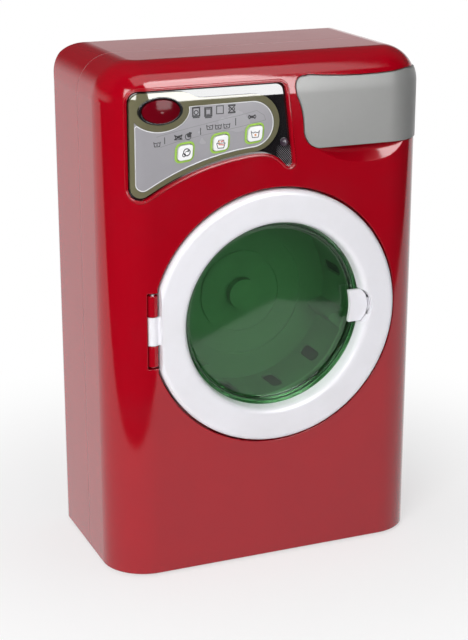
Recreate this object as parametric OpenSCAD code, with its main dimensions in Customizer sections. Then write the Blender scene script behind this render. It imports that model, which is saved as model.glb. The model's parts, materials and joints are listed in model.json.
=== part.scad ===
// Toy washing machine: a red cabinet with a round porthole door on the left
// hinge, a drum turned by a small motor, a soap drawer that slides out and a
// control panel with a start button and three keys.
// Millimetres, +Z up, the front faces -Y. The origin lies on the floor under
// the middle of the machine.

/* [Cabinet] */
// Width of the cabinet
body_w = 188; // [186:1:200]
// Depth of the cabinet without the door
body_d = 100; // [99:1:120]
// Height of the cabinet without its feet
body_h = 286; // [284:1:300]
// Thickness of the cabinet walls
wall = 2.5; // [2.2:0.1:2.8]
// Radius of the two upright corners at the front
corner_r = 25; // [22:1:28]
// Radius of the rounded edge round the top
top_r = 20; // [16:1:22]
// Radius of the corners at the back
back_r = 8; // [5:1:10]
// Depth of the front shell, from the front face to the seam
split_d = 50; // [46:1:54]
// Height of the feet under the cabinet
foot_h = 2; // [1.5:0.5:4]
// Radius of a foot
foot_r = 7; // [5:0.5:8]

/* [Door] */
// Distance of the middle of the door below the top of the cabinet
door_drop = 143.1; // [142:0.1:146]
// Distance of the middle of the door from the middle of the cabinet
door_right = 1.5; // [0:0.1:2]
// Outer radius of the door ring
ring_r = 72; // [70:0.5:73]
// How far the ring stands in front of the cabinet
ring_proud = 3; // [2.5:0.1:4]
// Height of the front of the ring above the plane that the door is drawn from
ring_front = 9.5; // [9:0.1:10]
// Radius of the ring's rounded outer edge
ring_edge_r = 3; // [2.5:0.1:4]
// Distance from the middle to the ring's flat side, where the hinge is
ring_flat = 68; // [66:0.5:69]
// Thickness of the ring's skin
ring_wall = 2; // [1.6:0.1:2.4]
// Radius of the window that shows inside the ring
window_r = 52.7; // [50:0.1:53.5]
// Depth of the window's rim behind the front of the ring
window_drop = 7.8; // [7:0.1:8]
// Depth of the dish in the window
dish_d = 9; // [7:0.5:10]
// Thickness of the window
window_t = 1.7; // [1.4:0.1:2]
// Radius of the opening in the cabinet
port_r = 60.5; // [60.2:0.1:62]
// Depth of the seat's floor behind the plane that the door is drawn from
seat_d = 2.3; // [2.2:0.1:2.6]
// Radius of the hinge pin
hinge_pin_r = 1.25; // [1:0.05:1.4]
// Radius of the hinge knuckles
knuckle_r = 3; // [2.6:0.1:3.2]
// Distance from the ring's flat side to the hinge pin
hinge_gap = 3.6; // [3.5:0.1:4.5]

/* [Latch] */
// Half the height of the latch handle
latch_half = 9.2; // [8:0.1:10]
// Radius of the handle's round outer end
latch_round = 11.9; // [11:0.1:12.5]
// Radius of the latch pin
latch_pin_r = 0.9; // [0.7:0.05:1]

/* [Drum] */
// Outer radius of the drum
drum_r = 54; // [50:0.5:55]
// Depth of the drum
drum_d = 34; // [30:1:35]
// Thickness of the drum's wall
drum_wall = 1.6; // [1.2:0.1:2]
// Number of long slots round the drum
drum_slots = 12; // [9:3:15]
// Width of a slot
slot_w = 7; // [4:0.5:8]
// Number of paddles inside the drum
paddles = 3; // [2:1:4]
// Height of a paddle
paddle_h = 9; // [5:0.5:11]
// Radius of the drum's axle
axle_r = 3; // [2.5:0.1:3.5]

/* [Gears] */
// Module of the drum gear and the small idler gear
drum_mod = 1; // [0.95:0.01:1.04]
// Teeth of the drum gear
drum_teeth = 60; // [56:4:60]
// Teeth of the small idler gear
idler_small_teeth = 12; // [12:1:13]
// Module of the large idler gear and the motor pinion
motor_mod = 0.8; // [0.78:0.01:0.82]
// Teeth of the large idler gear
idler_large_teeth = 40; // [36:1:42]
// Teeth of the motor pinion
pinion_teeth = 10; // [10:1:11]
// Play between the flanks of meshing teeth
backlash = 0.24; // [0.16:0.02:0.3]

/* [Panel] */
// Thickness of the black backing of the panel
backing_t = 1.8; // [1.5:0.1:2]
// Half the width of the oval start button
start_a = 10.4; // [9:0.1:10.6]
// Half the height of the oval start button
start_b = 6.1; // [5:0.1:6.3]
// Travel of the start button
start_travel = 2; // [1:0.1:2]
// Width of a key
key_w = 8; // [7:0.1:8.4]
// Height of a key
key_h = 7.8; // [7:0.1:8.2]
// Travel of a key
key_travel = 1.2; // [0.8:0.1:1.3]
// Radius of the indicator dome
lamp_r = 2.4; // [2:0.1:2.6]

/* [Drawer] */
// Length of the drawer tray
tray_len = 78; // [60:1:80]
// How far the drawer front stands proud of the cabinet
drawer_proud = 0.6; // [0.3:0.1:1]
// Thickness of the tray and guide walls
tray_wall = 1.6; // [1.2:0.1:1.8]
// Radius of the finger scoop's rim in the front face
scoop_rim_r = 48; // [44:1:50]

/* [Power] */
// Diameter of a cell
cell_d = 14.2; // [14:0.1:14.5]
// Length of a cell
cell_len = 50; // [49:0.5:50.5]
// Number of cells side by side
cells = 4; // [2:1:4]
// Radius of the loudspeaker
speaker_r = 20; // [15:1:22]

/* [Fits] */
// Gap between pieces that move past each other
slide_gap = 0.4; // [0.3:0.05:0.5]
// Radial clearance of a shaft in its hole
run_gap = 0.05; // [0.03:0.01:0.08]
// Radius of a screw's shank
screw_r = 1.3; // [1:0.1:1.4]

/* [Hidden] */

$fn = 64;
tiny = 0.01;
big = 400;

face_y = ring_proud - (body_d + ring_proud) / 2;
back_y = face_y + body_d;
split_y = face_y + split_d;
base_z = foot_h;
top_z = base_z + body_h;
door_cz = top_z - door_drop;
// How far the plane that the door is drawn from lies behind the face
door_sink = ring_front - ring_proud;
// Level that the outlines of the panel and the drawer count from
head_drop = 142;
head_z = top_z - head_drop;

red = [0.62, 0.0, 0.07];
white = [0.93, 0.92, 0.94];
green = [0.1, 0.4, 0.16, 0.55];
grey = [0.6, 0.6, 0.59];
silver = [0.74, 0.74, 0.76];
olive = [0.48, 0.46, 0.33];
black = [0.05, 0.05, 0.06];
steel = [0.7, 0.7, 0.72];
pale = [0.85, 0.85, 0.83];

// Points along an arc from angle a0 to angle a1
function arc(c, r, a0, a1, n = 8) =
    [for (i = [0 : n]) let (a = a0 + (a1 - a0) * i / n) [c.x + r * cos(a), c.y + r * sin(a)]];
// Points along a curve with two end points and two guide points
function bend(p0, p1, p2, p3, n = 8) =
    [for (i = [0 : n]) let (t = i / n, u = 1 - t)
        u * u * u * p0 + 3 * u * u * t * p1 + 3 * u * t * t * p2 + t * t * t * p3];
// Points along an ellipse
function oval(c, a, b, a0 = 0, a1 = 360, n = 40) =
    [for (i = [0 : n]) let (t = a0 + (a1 - a0) * i / n) [c.x + a * cos(t), c.y + b * sin(t)]];
// An outline without points that fall on their neighbours
function tidy(p) = [for (i = [0 : len(p) - 1]) if (norm(p[i] - p[(i + len(p) - 1) % len(p)]) > tiny) p[i]];
function unit(v) = v / norm(v);
function left_of(v) = [-v.y, v.x];
// An outline, drawn counter-clockwise, moved outwards by g
function outset(pts, g) = let (p = tidy(pts), n = len(p))
    [for (i = [0 : n - 1])
        let (
            e1 = unit(p[i] - p[(i + n - 1) % n]),
            e2 = unit(p[(i + 1) % n] - p[i]),
            m = unit(e1 + e2)
        )
        p[i] - left_of(m) * g / (m * e1)];

// Draws an outline of the front elevation from depth d0 to depth d1 behind the face
module slab(d0, d1) {
    translate([0, face_y + d1, 0]) rotate([90, 0, 0]) linear_extrude(d1 - d0) children();
}
module slab_of(pts, d0, d1, z = 0) {
    slab(d0, d1) translate([0, z]) polygon(tidy(pts));
}
// Places a piece that is drawn upwards so that it points back from depth d
module at_depth(x, z, d) {
    translate([x, face_y + d, z]) rotate([-90, 0, 0]) children();
}
module rod(x, z, d0, d1, r) {
    at_depth(x, z, d0) cylinder(h = d1 - d0, r = r);
}
// Turns a profile, drawn as radius and distance in front of the face, about the door's middle
module round_door() {
    translate([0, face_y, door_cz]) rotate([90, 0, 0]) children();
}
module box(lo, hi) {
    translate(lo) cube(hi - lo);
}
// The door and the drum are drawn from the face and the middle, and stand in their place here
module at_door() {
    translate([door_right, door_sink, 0]) children();
}

// Cabinet

// Plan of the cabinet, with the round front corners
module front_plan(hw, f, b, rc) {
    for (s = [-1, 1]) translate([s * (hw - rc), f + rc]) circle(rc);
    translate([-(hw - rc), f]) square([2 * (hw - rc), rc]);
    translate([-hw, f + rc]) square([2 * hw, b - f - rc]);
}
// How far the pieces that make up one solid run into each other
join = 0.5;
module quarter(r) {
    intersection() {
        circle(r);
        translate([-join, -join]) square(r + join);
    }
}
// Front part of the cabinet, with its top edge rounded all the way round
module front_form(inset = 0, b = split_y) {
    hw = body_w / 2 - inset;
    f = face_y + inset;
    lo = base_z + inset;
    hi = top_z - inset;
    rc = corner_r - inset;
    rt = top_r - inset;
    side = b - f - rc;
    translate([0, 0, lo]) linear_extrude(hi - rt - lo) front_plan(hw, f, b, rc);
    translate([0, 0, hi - rt - join]) linear_extrude(rt + join) front_plan(hw - rt, f + rt, b, rc - rt);
    translate([-(hw - rc), f + rt, hi - rt]) rotate([90, 0, 90]) linear_extrude(2 * (hw - rc))
        mirror([1, 0]) quarter(rt);
    for (s = [-1, 1]) {
        translate([s * (hw - rt), f + rc, hi - rt]) rotate([90, 0, 0]) translate([0, 0, -side])
            linear_extrude(side) mirror([s < 0 ? 1 : 0, 0]) quarter(rt);
        translate([s * (hw - rc), f + rc, hi - rt]) rotate([0, 0, s < 0 ? 180 : 270])
            rotate_extrude(angle = 90) translate([rc - rt, 0]) quarter(rt);
    }
}
// Outline of the cabinet seen from the front
module front_elevation(inset) {
    hw = body_w / 2 - inset;
    lo = base_z + inset;
    hi = top_z - inset;
    rt = top_r - inset;
    translate([-hw, lo]) square([2 * hw, hi - rt - lo]);
    translate([-(hw - rt), lo]) square([2 * (hw - rt), hi - lo]);
    for (s = [-1, 1]) translate([s * (hw - rt), hi - rt]) circle(rt);
}
// Back part of the cabinet
module rear_form(inset = 0) {
    hw = body_w / 2 - inset;
    b = back_y - inset;
    rb = back_r - inset;
    hi = top_z - inset;
    intersection() {
        translate([0, b, 0]) rotate([90, 0, 0]) linear_extrude(b - split_y) front_elevation(inset);
        linear_extrude(big) union() {
            translate([-hw, split_y - 1]) square([2 * hw, b - rb - split_y + 1]);
            translate([-(hw - rb), split_y - 1]) square([2 * (hw - rb), b - split_y + 1]);
            for (s = [-1, 1]) translate([s * (hw - rb), b - rb]) circle(rb);
        }
        translate([-big / 2, 0, 0]) rotate([90, 0, 90]) linear_extrude(big) union() {
            translate([split_y - 1, 0]) square([b - rb - split_y + 1, hi]);
            translate([split_y - 1, 0]) square([b - split_y + 1, hi - rb]);
            translate([b - rb, hi - rb]) circle(rb);
        }
    }
}
// What lies between two depths under the front surface
module layer(i0, i1) {
    difference() {
        front_form(i0);
        front_form(i1, split_y + 1);
    }
}

// Panel outlines, with x from the middle and z from head_z

panel_margin = 12;
panel_l = panel_margin - body_w / 2;
panel_top = 128.7;
panel_arc_c = [-2.7, -44.6];
panel_arc_r = 136.2;
panel_tip = [9, 84.9];
panel_tip_r = 2.1;
panel_corner = [2.4, panel_top - 4];
panel_corner_r = 4;
left_end_r = 6;
function arc_at(r, x) = panel_arc_c.y + sqrt(r * r - (x - panel_arc_c.x) * (x - panel_arc_c.x));
function arc_angle(r, x) = acos((x - panel_arc_c.x) / r);
// Round corner at the left end of an outline whose lower edge is the long arc
function low_left(r, x, k) =
    let (c = [x + k, arc_at(r + k, x + k)], a = atan2(c.y - panel_arc_c.y, c.x - panel_arc_c.x))
    concat(arc(c, k, 180, a + 180, 6), arc(panel_arc_c, r, a, arc_angle(r, -13), 14));
function panel_outline() = concat(
    low_left(panel_arc_r, panel_l, left_end_r),
    bend([-13, arc_at(panel_arc_r, -13)], [-5, 91.8], [0.5, 91], [panel_tip.x - 2.2, panel_tip.y - 1.2], 7),
    arc(panel_tip, panel_tip_r, -110, 5, 6),
    arc(panel_corner, panel_corner_r, 5, 90, 6),
    arc([panel_l + left_end_r, panel_top - left_end_r], left_end_r, 90, 180, 6));

// The bezel's outer edge
bezel_gap = 1.2;
bezel_arc_r = panel_arc_r + bezel_gap;
bezel_end = [-12.9, 108];
bezel_end_r = bezel_end.y - arc_at(bezel_arc_r, bezel_end.x);
bezel_l = panel_l + bezel_gap;
bezel_top = panel_top - bezel_gap;
function bezel_outline() = concat(
    low_left(bezel_arc_r, bezel_l, left_end_r - 1),
    arc(bezel_end, bezel_end_r, -86, 90, 16),
    bend([-40, bezel_end.y + bezel_end_r], [-48, bezel_end.y + bezel_end_r], [-46, bezel_top],
        [-56, bezel_top], 6),
    arc([bezel_l + left_end_r, bezel_top - left_end_r], left_end_r, 90, 180, 6));

// The silver fascia inside the bezel, cut away round the start button
start_c = [panel_l + 17.3, 118.1];
start_rim = 2;
notch_rim = 3.6;
fascia_arc_r = panel_arc_r + 3.5;
fascia_end = [-12.9, 107.3];
fascia_end_r = fascia_end.y - arc_at(fascia_arc_r, fascia_end.x);
fascia_l = panel_l + 3.5;
notch_a = start_a + start_rim + notch_rim;
notch_b = start_b + start_rim * 0.6 + notch_rim;
function fascia_outline() = concat(
    low_left(fascia_arc_r, fascia_l, left_end_r - 2),
    arc(fascia_end, fascia_end_r, -86, 90, 16),
    oval(start_c, notch_a, notch_b, 7, -150, 20),
    [[fascia_l, start_c.y - notch_b * 0.75]]);

// Keys: middle of each, from left to right, and the slope of their row
spin_c = [-51.4, 95.4];
wash_c = [-31.4, 99];
rinse_c = [-11.7, 102.4];
key_slope = 0.1;
key_lean = 0.07;
key_round = 1.8;
frame_w = 1.1;
frame_h = 0.4;
function leaned(c, p) = [c.x + p.x + key_lean * p.y, c.y + p.y + key_slope * p.x];
function key_outline(c, g = 0) =
    let (w = key_w / 2 + g, h = key_h / 2 + g, r = key_round + g,
        q = [[1, -1, -90], [1, 1, 0], [-1, 1, 90], [-1, -1, 180]])
    [for (k = q, i = [0 : 5]) let (a = k.z + i * 18)
        leaned(c, [k.x * (w - r) + r * cos(a), k.y * (h - r) + r * sin(a)])];

lamp_c = [6.4, 96];

// Drawer outline

drawer_top = 129.8;
drawer_low = 91.7;
drawer_l = 12.1;
drawer_wrap = corner_r + 3;
function drawer_outline() = concat(
    [[body_w / 2 + 2, drawer_low], [body_w / 2 + 2, drawer_top]],
    bend([80, drawer_top + 1], [60, drawer_top - 1], [40, drawer_top - 0.6], [20, drawer_top + 1.4], 6),
    arc([drawer_l + 5, drawer_top - 4], 5, 80, 190, 8),
    bend([drawer_l + 0.8, 121], [drawer_l + 4.6, 113.5], [drawer_l + 5, 107], [drawer_l + 5.2, 101], 8),
    bend([drawer_l + 5.8, 98.6], [drawer_l + 7.6, 94.6], [drawer_l + 9.6, drawer_low + 0.8],
        [drawer_l + 14, drawer_low], 7));

// Drawer bay behind the front, the tray fits in it
bay_l = 17;
bay_r = body_w / 2 - wall - 3.5;
bay_low = 101;
bay_top = 124;
bay_d = wall + 1;
bay_end = bay_d + tray_len + 2;

// Finger scoop in the face under the drawer
scoop_c = [53.3 + 0.9, 130.5 - 0.7];
scoop_back = 66.75;
scoop_r = sqrt(scoop_rim_r * scoop_rim_r + scoop_back * scoop_back);
scoop_low = 40;
shelf_t = 1.6;
shelf_top = head_z + bay_low - tray_wall;
module scoop_ball(extra = 0) {
    translate([scoop_c.x, face_y - scoop_back, head_z + scoop_c.y]) sphere(scoop_r + extra, $fn = 96);
}

// Screw posts that join the two shells
post_r = 3.6;
post_low = 12;
post_side = body_w / 2 - wall - post_r - 4.5;
posts = [[-post_side, base_z + post_low], [post_side, base_z + post_low],
    [-post_side, door_cz - 34], [post_side, door_cz - 34],
    [-post_side, door_cz + 54], [post_side, door_cz + 54]];

// Depths behind the face of what lies behind the door
collar_end = 9.7;
collar_t = 2;
drum_front = collar_end + 2.5;
drum_back = drum_front + drum_d;
housing_gap = 3.5;
housing_wall = 2;
housing_r = drum_r + housing_gap;
housing_back = drum_back + 3;
housing_face = housing_back + 2.5;
gear_d = housing_face + 2.4;
gear_t = 5;
idler_large_d = gear_d + gear_t + 1;
idler_large_t = 4;
cover_d = idler_large_d + idler_large_t + 2;
cover_t = 2.5;
motor_d = cover_d + cover_t;
motor_len = body_d - wall - door_sink - motor_d - 1;

ear_r = port_r + 10;
ear_boss_r = 3.5;
thread_r = screw_r - 0.2;
seat_gap = 1.3;
function ears() = [for (a = [45 : 90 : 315]) [ear_r * cos(a), ear_r * sin(a)]];

module front_shell() {
    color(red) difference() {
        union() {
            difference() {
                front_form(0);
                front_form(wall, split_y + 1);
            }
            intersection() {
                front_form(wall / 2);
                union() {
                    at_door() {
                        // the walls of the ring's seat and the collar that leads to the drum
                        rod(0, door_cz, -door_sink, seat_d + wall, ring_r + 5);
                        rod(0, door_cz, 0, collar_end, port_r + collar_t);
                        for (e = ears()) rod(e.x, door_cz + e.y, 0, collar_end, ear_boss_r);
                        hinge_well(wall, seat_d + wall);
                    }
                    for (p = posts) rod(p.x, p.y, 0, split_d, post_r);
                }
            }
            // the wall and the roof of the scoop
            intersection() {
                scoop_ball(wall);
                front_form(0);
                box([drawer_l, face_y, head_z + scoop_low], [body_w / 2, split_y, shelf_top]);
            }
        }
        at_door() {
            rod(0, door_cz, -door_sink - 1, collar_end + 1, port_r);
            intersection() {
                rod(0, door_cz, -door_sink - 1, seat_d, ring_r + seat_gap);
                box([-ring_flat - seat_gap, face_y - door_sink - 2, 0], [body_w, split_y, top_z]);
            }
            hinge_well(0, seat_d);
            // notch that the latch's hook passes through
            box([0, face_y - 1, door_cz - notch_half],
                [hook_x + hook_gap, face_y + collar_end + 1, door_cz + notch_half]);
            for (e = ears()) rod(e.x, door_cz + e.y, wall + 1, collar_end + 1, thread_r);
            for (z = hinge_pegs) rod(hinge_x, door_cz + z, 0, split_d / 4, peg_r + 0.1);
        }
        slab_of(panel_outline(), -1, corner_r / 2, head_z);
        intersection() {
            slab_of(outset(drawer_outline(), slide_gap), -2, drawer_wrap + slide_gap, head_z);
            layer(-drawer_proud - 1, wall + 0.2);
        }
        intersection() {
            scoop_ball();
            box([0, face_y - 2, head_z + scoop_low], [body_w / 2, split_y, shelf_top - shelf_t]);
        }
        for (p = posts) rod(p.x, p.y, split_d - 14, split_d + 1, thread_r);
        foot_pockets();
    }
}
// Well beside the ring's seat that holds the hinge, grown by g
module hinge_well(g, d1) {
    half = hinge_half + pin_over + well_gap + g;
    box([hinge_x - knuckle_r - well_gap - g, face_y - door_sink - 1, door_cz - half],
        [-ring_flat + well_gap, face_y + d1, door_cz + half]);
}
well_gap = 0.6;
module foot_pockets() {
    for (p = feet_at) translate([p.x, p.y, base_z - 1]) cylinder(h = 1.8, r = foot_r + 0.1);
}
feet_x = body_w / 2 - 22;
feet_at = [for (x = [-feet_x, feet_x], y = [face_y + 20, back_y - 16]) [x, y]];

module rear_shell() {
    color(red) difference() {
        union() {
            difference() {
                rear_form(0);
                translate([0, -1, 0]) rear_form(wall);
                rear_form(wall);
            }
            intersection() {
                rear_form(0.5);
                union() {
                    for (p = posts) rod(p.x, p.y, split_d, body_d, post_r);
                    for (x = guide_pegs)
                        rod(x, guide_peg_z, bay_end + tray_wall + 1.4, body_d, guide_peg_r + 1.6);
                }
            }
            // lip that locates the front shell
            rim(wall - 0.5, split_d, split_d + 5);
            rim(wall + 0.2, split_d - 3, split_d + 1);
        }
        for (p = posts) {
            rod(p.x, p.y, split_d - 1, body_d + 1, screw_r + 0.2);
            rod(p.x, p.y, split_d + 6, body_d + 1, screw_head_r + 0.3);
        }
        for (x = guide_pegs) rod(x, guide_peg_z, bay_end, body_d - wall, guide_peg_r + 0.05);
        battery_opening();
        speaker_grille();
        foot_pockets();
    }
}
module rim(outer, d0, d1) {
    difference() {
        translate([0, face_y + d1, 0]) rotate([90, 0, 0]) linear_extrude(d1 - d0) front_elevation(outer);
        translate([0, face_y + d1 + 1, 0]) rotate([90, 0, 0]) linear_extrude(d1 - d0 + 2)
            front_elevation(wall + 1.5);
    }
}
guide_pegs = [bay_l + 16, bay_r - 18];
guide_peg_r = 3;
guide_peg_z = head_z + (bay_low + bay_top) / 2;
screw_head_r = 2.4;
screw_head_h = 1.6;
module screw(len, head_r = screw_head_r, head_h = screw_head_h) {
    translate([0, 0, -head_h]) {
        cylinder(h = head_h + len, r = thread_r);
        cylinder(h = head_h, r = head_r);
    }
}
// A screw whose head bears at depth d and whose shank runs towards the front
module screw_from_back(x, z, d, len, head_r = screw_head_r, head_h = screw_head_h) {
    translate([x, face_y + d, z]) rotate([90, 0, 0]) difference() {
        screw(len, head_r, head_h);
        for (a = [0, 90]) rotate([0, 0, a])
            translate([-head_r * 0.6, -0.3, -head_h - 1]) cube([head_r * 1.2, 0.6, 1 + head_h / 2]);
    }
}
module shell_screws() {
    color(steel) for (p = posts) screw_from_back(p.x, p.y, split_d + 6, 16);
}
module feet() {
    color(black) for (p = feet_at) translate([p.x, p.y, 0]) cylinder(h = foot_h + 0.8, r = foot_r);
}

// Control panel

module panel_backing() {
    color(black) difference() {
        union() {
            intersection() {
                slab_of(outset(panel_outline(), 1.8), -2, 30, head_z);
                layer(wall, wall + backing_t);
            }
            for (p = board_posts) rod(p.x, head_z + p.y, wall + backing_t / 2, board_d, 2.4);
        }
        slab_of(oval(start_c, start_a + slide_gap, start_b + slide_gap), -2, 30, head_z);
        for (c = [spin_c, wash_c, rinse_c]) slab_of(key_outline(c, slide_gap), -2, 9, head_z);
        rod(lamp_c.x, head_z + lamp_c.y, -2, 12, lamp_stem_r + 0.05);
        for (p = board_posts) rod(p.x, head_z + p.y, wall + backing_t + 1, board_d + 1, thread_r);
    }
}
board_d = 12;
board_t = 1.6;
board_posts = [[panel_l + 9, 92], [-21.5, 92], [-33, 120], [3, 118]];
bezel_face = 0.5;
fascia_face = 1;

module panel_bezel() {
    color(olive) difference() {
        intersection() {
            slab_of(bezel_outline(), -2, 30, head_z);
            layer(bezel_face, wall);
        }
        slab_of(outset(fascia_outline(), 0.05), -2, 30, head_z);
        slab_of(oval(start_c, start_a + start_rim, start_b + start_rim * 0.6), -2, 30, head_z);
    }
}
module panel_fascia() {
    color(silver) difference() {
        intersection() {
            slab_of(fascia_outline(), -2, 30, head_z);
            layer(fascia_face, wall);
        }
        for (c = [spin_c, wash_c, rinse_c]) slab_of(key_outline(c, slide_gap), -2, 9, head_z);
    }
}
module start_ring() {
    color(black) difference() {
        slab_of(oval(start_c, start_a + start_rim - 0.05, start_b + start_rim * 0.6 - 0.05), 0, 6, head_z);
        slab_of(oval(start_c, start_a + slide_gap, start_b + slide_gap), -3, 31, head_z);
        front_form(wall, split_y + 1);
    }
}
module key_frames() {
    color([0.5, 0.66, 0.16]) for (c = [spin_c, wash_c, rinse_c]) difference() {
        slab_of(key_outline(c, slide_gap + frame_w), fascia_face - frame_h, fascia_face, head_z);
        slab_of(key_outline(c, slide_gap), -1, 3, head_z);
    }
}
lamp_stem_r = 1.5;
module indicator_lamp() {
    color([0.9, 0.95, 0.95]) {
        intersection() {
            at_depth(lamp_c.x, head_z + lamp_c.y, wall) sphere(lamp_r);
            box([lamp_c.x - 5, face_y - 5, head_z + lamp_c.y - 5],
                [lamp_c.x + 5, face_y + wall, head_z + lamp_c.y + 5]);
        }
        rod(lamp_c.x, head_z + lamp_c.y, wall - tiny, board_d, lamp_stem_r);
    }
}
flange_gap = 0.3;
flange_t = 1.2;
flange_d = wall + backing_t + 2.2;
switch_h = 1.8;
key_face = -0.6;
module key(c) {
    color(white) union() {
        slab_of(key_outline(c), key_face, flange_d, head_z);
        slab_of(key_outline(c, 1.3), wall + backing_t + flange_gap, flange_d, head_z);
        rod(c.x, head_z + c.y, flange_d - tiny, board_d - switch_h - key_travel - 0.2, 1.6);
    }
}
module spin_key() { key(spin_c); }
module wash_key() { key(wash_c); }
module rinse_key() { key(rinse_c); }
module start_button() {
    dome_r = 34;
    front = -2.2;
    color([0.45, 0.02, 0.06]) union() {
        intersection() {
            slab_of(oval(start_c, start_a, start_b), front, start_flange_d, head_z);
            at_depth(start_c.x, head_z + start_c.y, front + dome_r) sphere(dome_r, $fn = 96);
        }
        slab_of(oval(start_c, start_a + 1.6, start_b + 1.6), start_flange_d, start_flange_d + flange_t,
            head_z);
        rod(start_c.x, head_z + start_c.y, start_flange_d + flange_t - tiny,
            board_d - switch_h - start_travel - 0.2, 1.6);
    }
}
// The backing curves away at the left, so the start button's flange lies deeper
start_flange_d = wall + backing_t + 2.4;
// A round wire of radius r along a path that never runs straight up
module tube(path, r, sides = 6) {
    n = len(path);
    rings = [for (i = [0 : n - 1])
        let (
            t = unit(path[min(n - 1, i + 1)] - path[max(0, i - 1)]),
            u = unit(cross(t, [0, 0, 1])),
            v = cross(u, t)
        )
        for (j = [0 : sides - 1]) path[i] + r * (cos(j * 360 / sides) * u + sin(j * 360 / sides) * v)];
    faces = concat(
        [[for (j = [sides - 1 : -1 : 0]) j]],
        [[for (j = [0 : sides - 1]) (n - 1) * sides + j]],
        [for (i = [0 : n - 2], j = [0 : sides - 1])
            let (a = i * sides + j, b = i * sides + (j + 1) % sides)
                each [[a, b, a + sides], [b, b + sides, a + sides]]]);
    polyhedron(rings, faces);
}
// A spring of radius r along +Z
module coil(r, wire, turns, len) {
    steps = turns * 12;
    tube([for (i = [0 : steps]) [r * cos(i * 30), r * sin(i * 30), wire + (len - 2 * wire) * i / steps]],
        wire);
}
module start_spring() {
    color(steel) at_depth(start_c.x, head_z + start_c.y, start_flange_d + flange_t + 0.1)
        coil(4.2, 0.3, 4, board_d - start_flange_d - flange_t - 0.2);
}
module dome(c) {
    h = board_d - flange_d - 0.2;
    color([0.2, 0.2, 0.2]) at_depth(c.x, head_z + c.y, flange_d + 0.1) rotate_extrude()
        polygon([[2.4, 0], [3, 0], [4.6, h - 0.6], [4.6, h], [4, h], [3.8, h - 0.8]]);
}
module spin_dome() { dome(spin_c); }
module wash_dome() { dome(wash_c); }
module rinse_dome() { dome(rinse_c); }
module control_board() {
    color([0.1, 0.3, 0.15]) difference() {
        union() {
            box([panel_l + 4, face_y + board_d, head_z + 87],
                [8, face_y + board_d + board_t, head_z + 124]);
            for (c = [spin_c, wash_c, rinse_c, start_c])
                box([c.x - 1.6, face_y + board_d - switch_h, head_z + c.y - 1.6],
                    [c.x + 1.6, face_y + board_d + tiny, head_z + c.y + 1.6]);
            box([-46, face_y + board_d + board_t - tiny, head_z + 104],
                [-34, face_y + board_d + board_t + 2, head_z + 114]);
            box([panel_l + 12, face_y + board_d + board_t - tiny, head_z + 92],
                [panel_l + 22, face_y + board_d + board_t + 5, head_z + 98]);
        }
        for (p = board_posts) rod(p.x, head_z + p.y, board_d - 1, board_d + board_t + 1, screw_r);
    }
}
module board_screws() {
    color(steel) for (p = board_posts)
        screw_from_back(p.x, head_z + p.y, board_d + board_t, 5);
}

// Drawer

module drawer_front() {
    color(grey) intersection() {
        slab_of(drawer_outline(), -3, drawer_wrap, head_z);
        layer(-drawer_proud, drawer_in);
        // flush with the cabinet's side
        box([0, face_y - 3, head_z], [body_w / 2, split_y, top_z]);
    }
}
drawer_in = 2;
module drawer_tray() {
    l = bay_l + slide_gap;
    r = bay_r - slide_gap;
    lo = head_z + bay_low + slide_gap;
    hi = head_z + bay_top - slide_gap - 2;
    d0 = 0;
    d1 = bay_d + tray_len;
    color(pale) difference() {
        intersection() {
            box([l, face_y + d0, lo], [r, face_y + d1, hi]);
            front_form(drawer_in, back_y);
        }
        for (b = tray_bays())
            box([b[0], face_y + bay_d + tray_wall, lo + tray_wall],
                [b[1], face_y + d1 - tray_wall, hi + 1]);
    }
}
function tray_bays() =
    let (l = bay_l + slide_gap + tray_wall, r = bay_r - slide_gap - tray_wall - 9,
        w = (r - l - 2 * tray_wall) / 3)
    [for (i = [0 : 2]) [l + i * (w + tray_wall), l + i * (w + tray_wall) + w]];
module drawer_guide() {
    t = tray_wall;
    color(pale) difference() {
        union() {
            box([bay_l - t, face_y + bay_d, head_z + bay_low - t],
                [bay_r + t, face_y + bay_end + t, head_z + bay_top + t]);
            for (x = guide_pegs) rod(x, guide_peg_z, bay_end, body_d - wall - 1.5, guide_peg_r);
        }
        box([bay_l, face_y - 1, head_z + bay_low], [bay_r, face_y + bay_end, head_z + bay_top]);
        difference() {
            box([bay_l - 2 * t, face_y - 1, head_z], [body_w, face_y + drawer_wrap + 2, top_z]);
            front_form(drawer_in + 1, back_y);
        }
    }
}

// Door

skin_y = ring_front - ring_wall;
rim_p = ring_front - window_drop;
back_ring_t = 1.6;
rear_p = rim_p - window_t - back_ring_t;
// The ring's inner edge: where its round ends on the front and where the pocket behind it starts
inner_round = 4.6;
pocket_in = window_r + 8.2;
flange_w = 4.4;
door_post_r = 3;
door_boss_h = 1.4;
function door_screw_at() = [for (a = [30 : 60 : 330]) (ring_r - 6.2) * [cos(a), sin(a)]];
module ring_profile() {
    polygon(concat(
        [[window_r, rim_p]],
        bend([window_r + 0.4, ring_front - inner_round], [window_r + 0.6, ring_front - 1.6],
            [window_r + 1.8, ring_front], [window_r + inner_round, ring_front], 8),
        arc([ring_r - ring_edge_r, ring_front - ring_edge_r], ring_edge_r, 90, 0, 8),
        [[ring_r, rear_p], [ring_r - ring_wall, rear_p], [ring_r - ring_wall, rim_p - window_t],
            [window_r + flange_w + 0.2, rim_p - window_t], [window_r + flange_w + 0.2, rim_p]]));
}
module ring_pocket() {
    polygon(concat(
        [[pocket_in, rim_p - window_t - 1], [pocket_in, skin_y]],
        arc([ring_r - ring_edge_r, ring_front - ring_edge_r], ring_edge_r - ring_wall, 90, 0, 8),
        [[ring_r - ring_wall, rim_p - window_t - 1]]));
}
hinge_x = -ring_flat - hinge_gap;
hinge_p = (ring_front + rear_p) / 2;
hinge_y = face_y - hinge_p;
hinge_half = 20;
knuckle_half = 8;
peg_r = 1.2;
hinge_pegs = [-13, 13];
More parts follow.
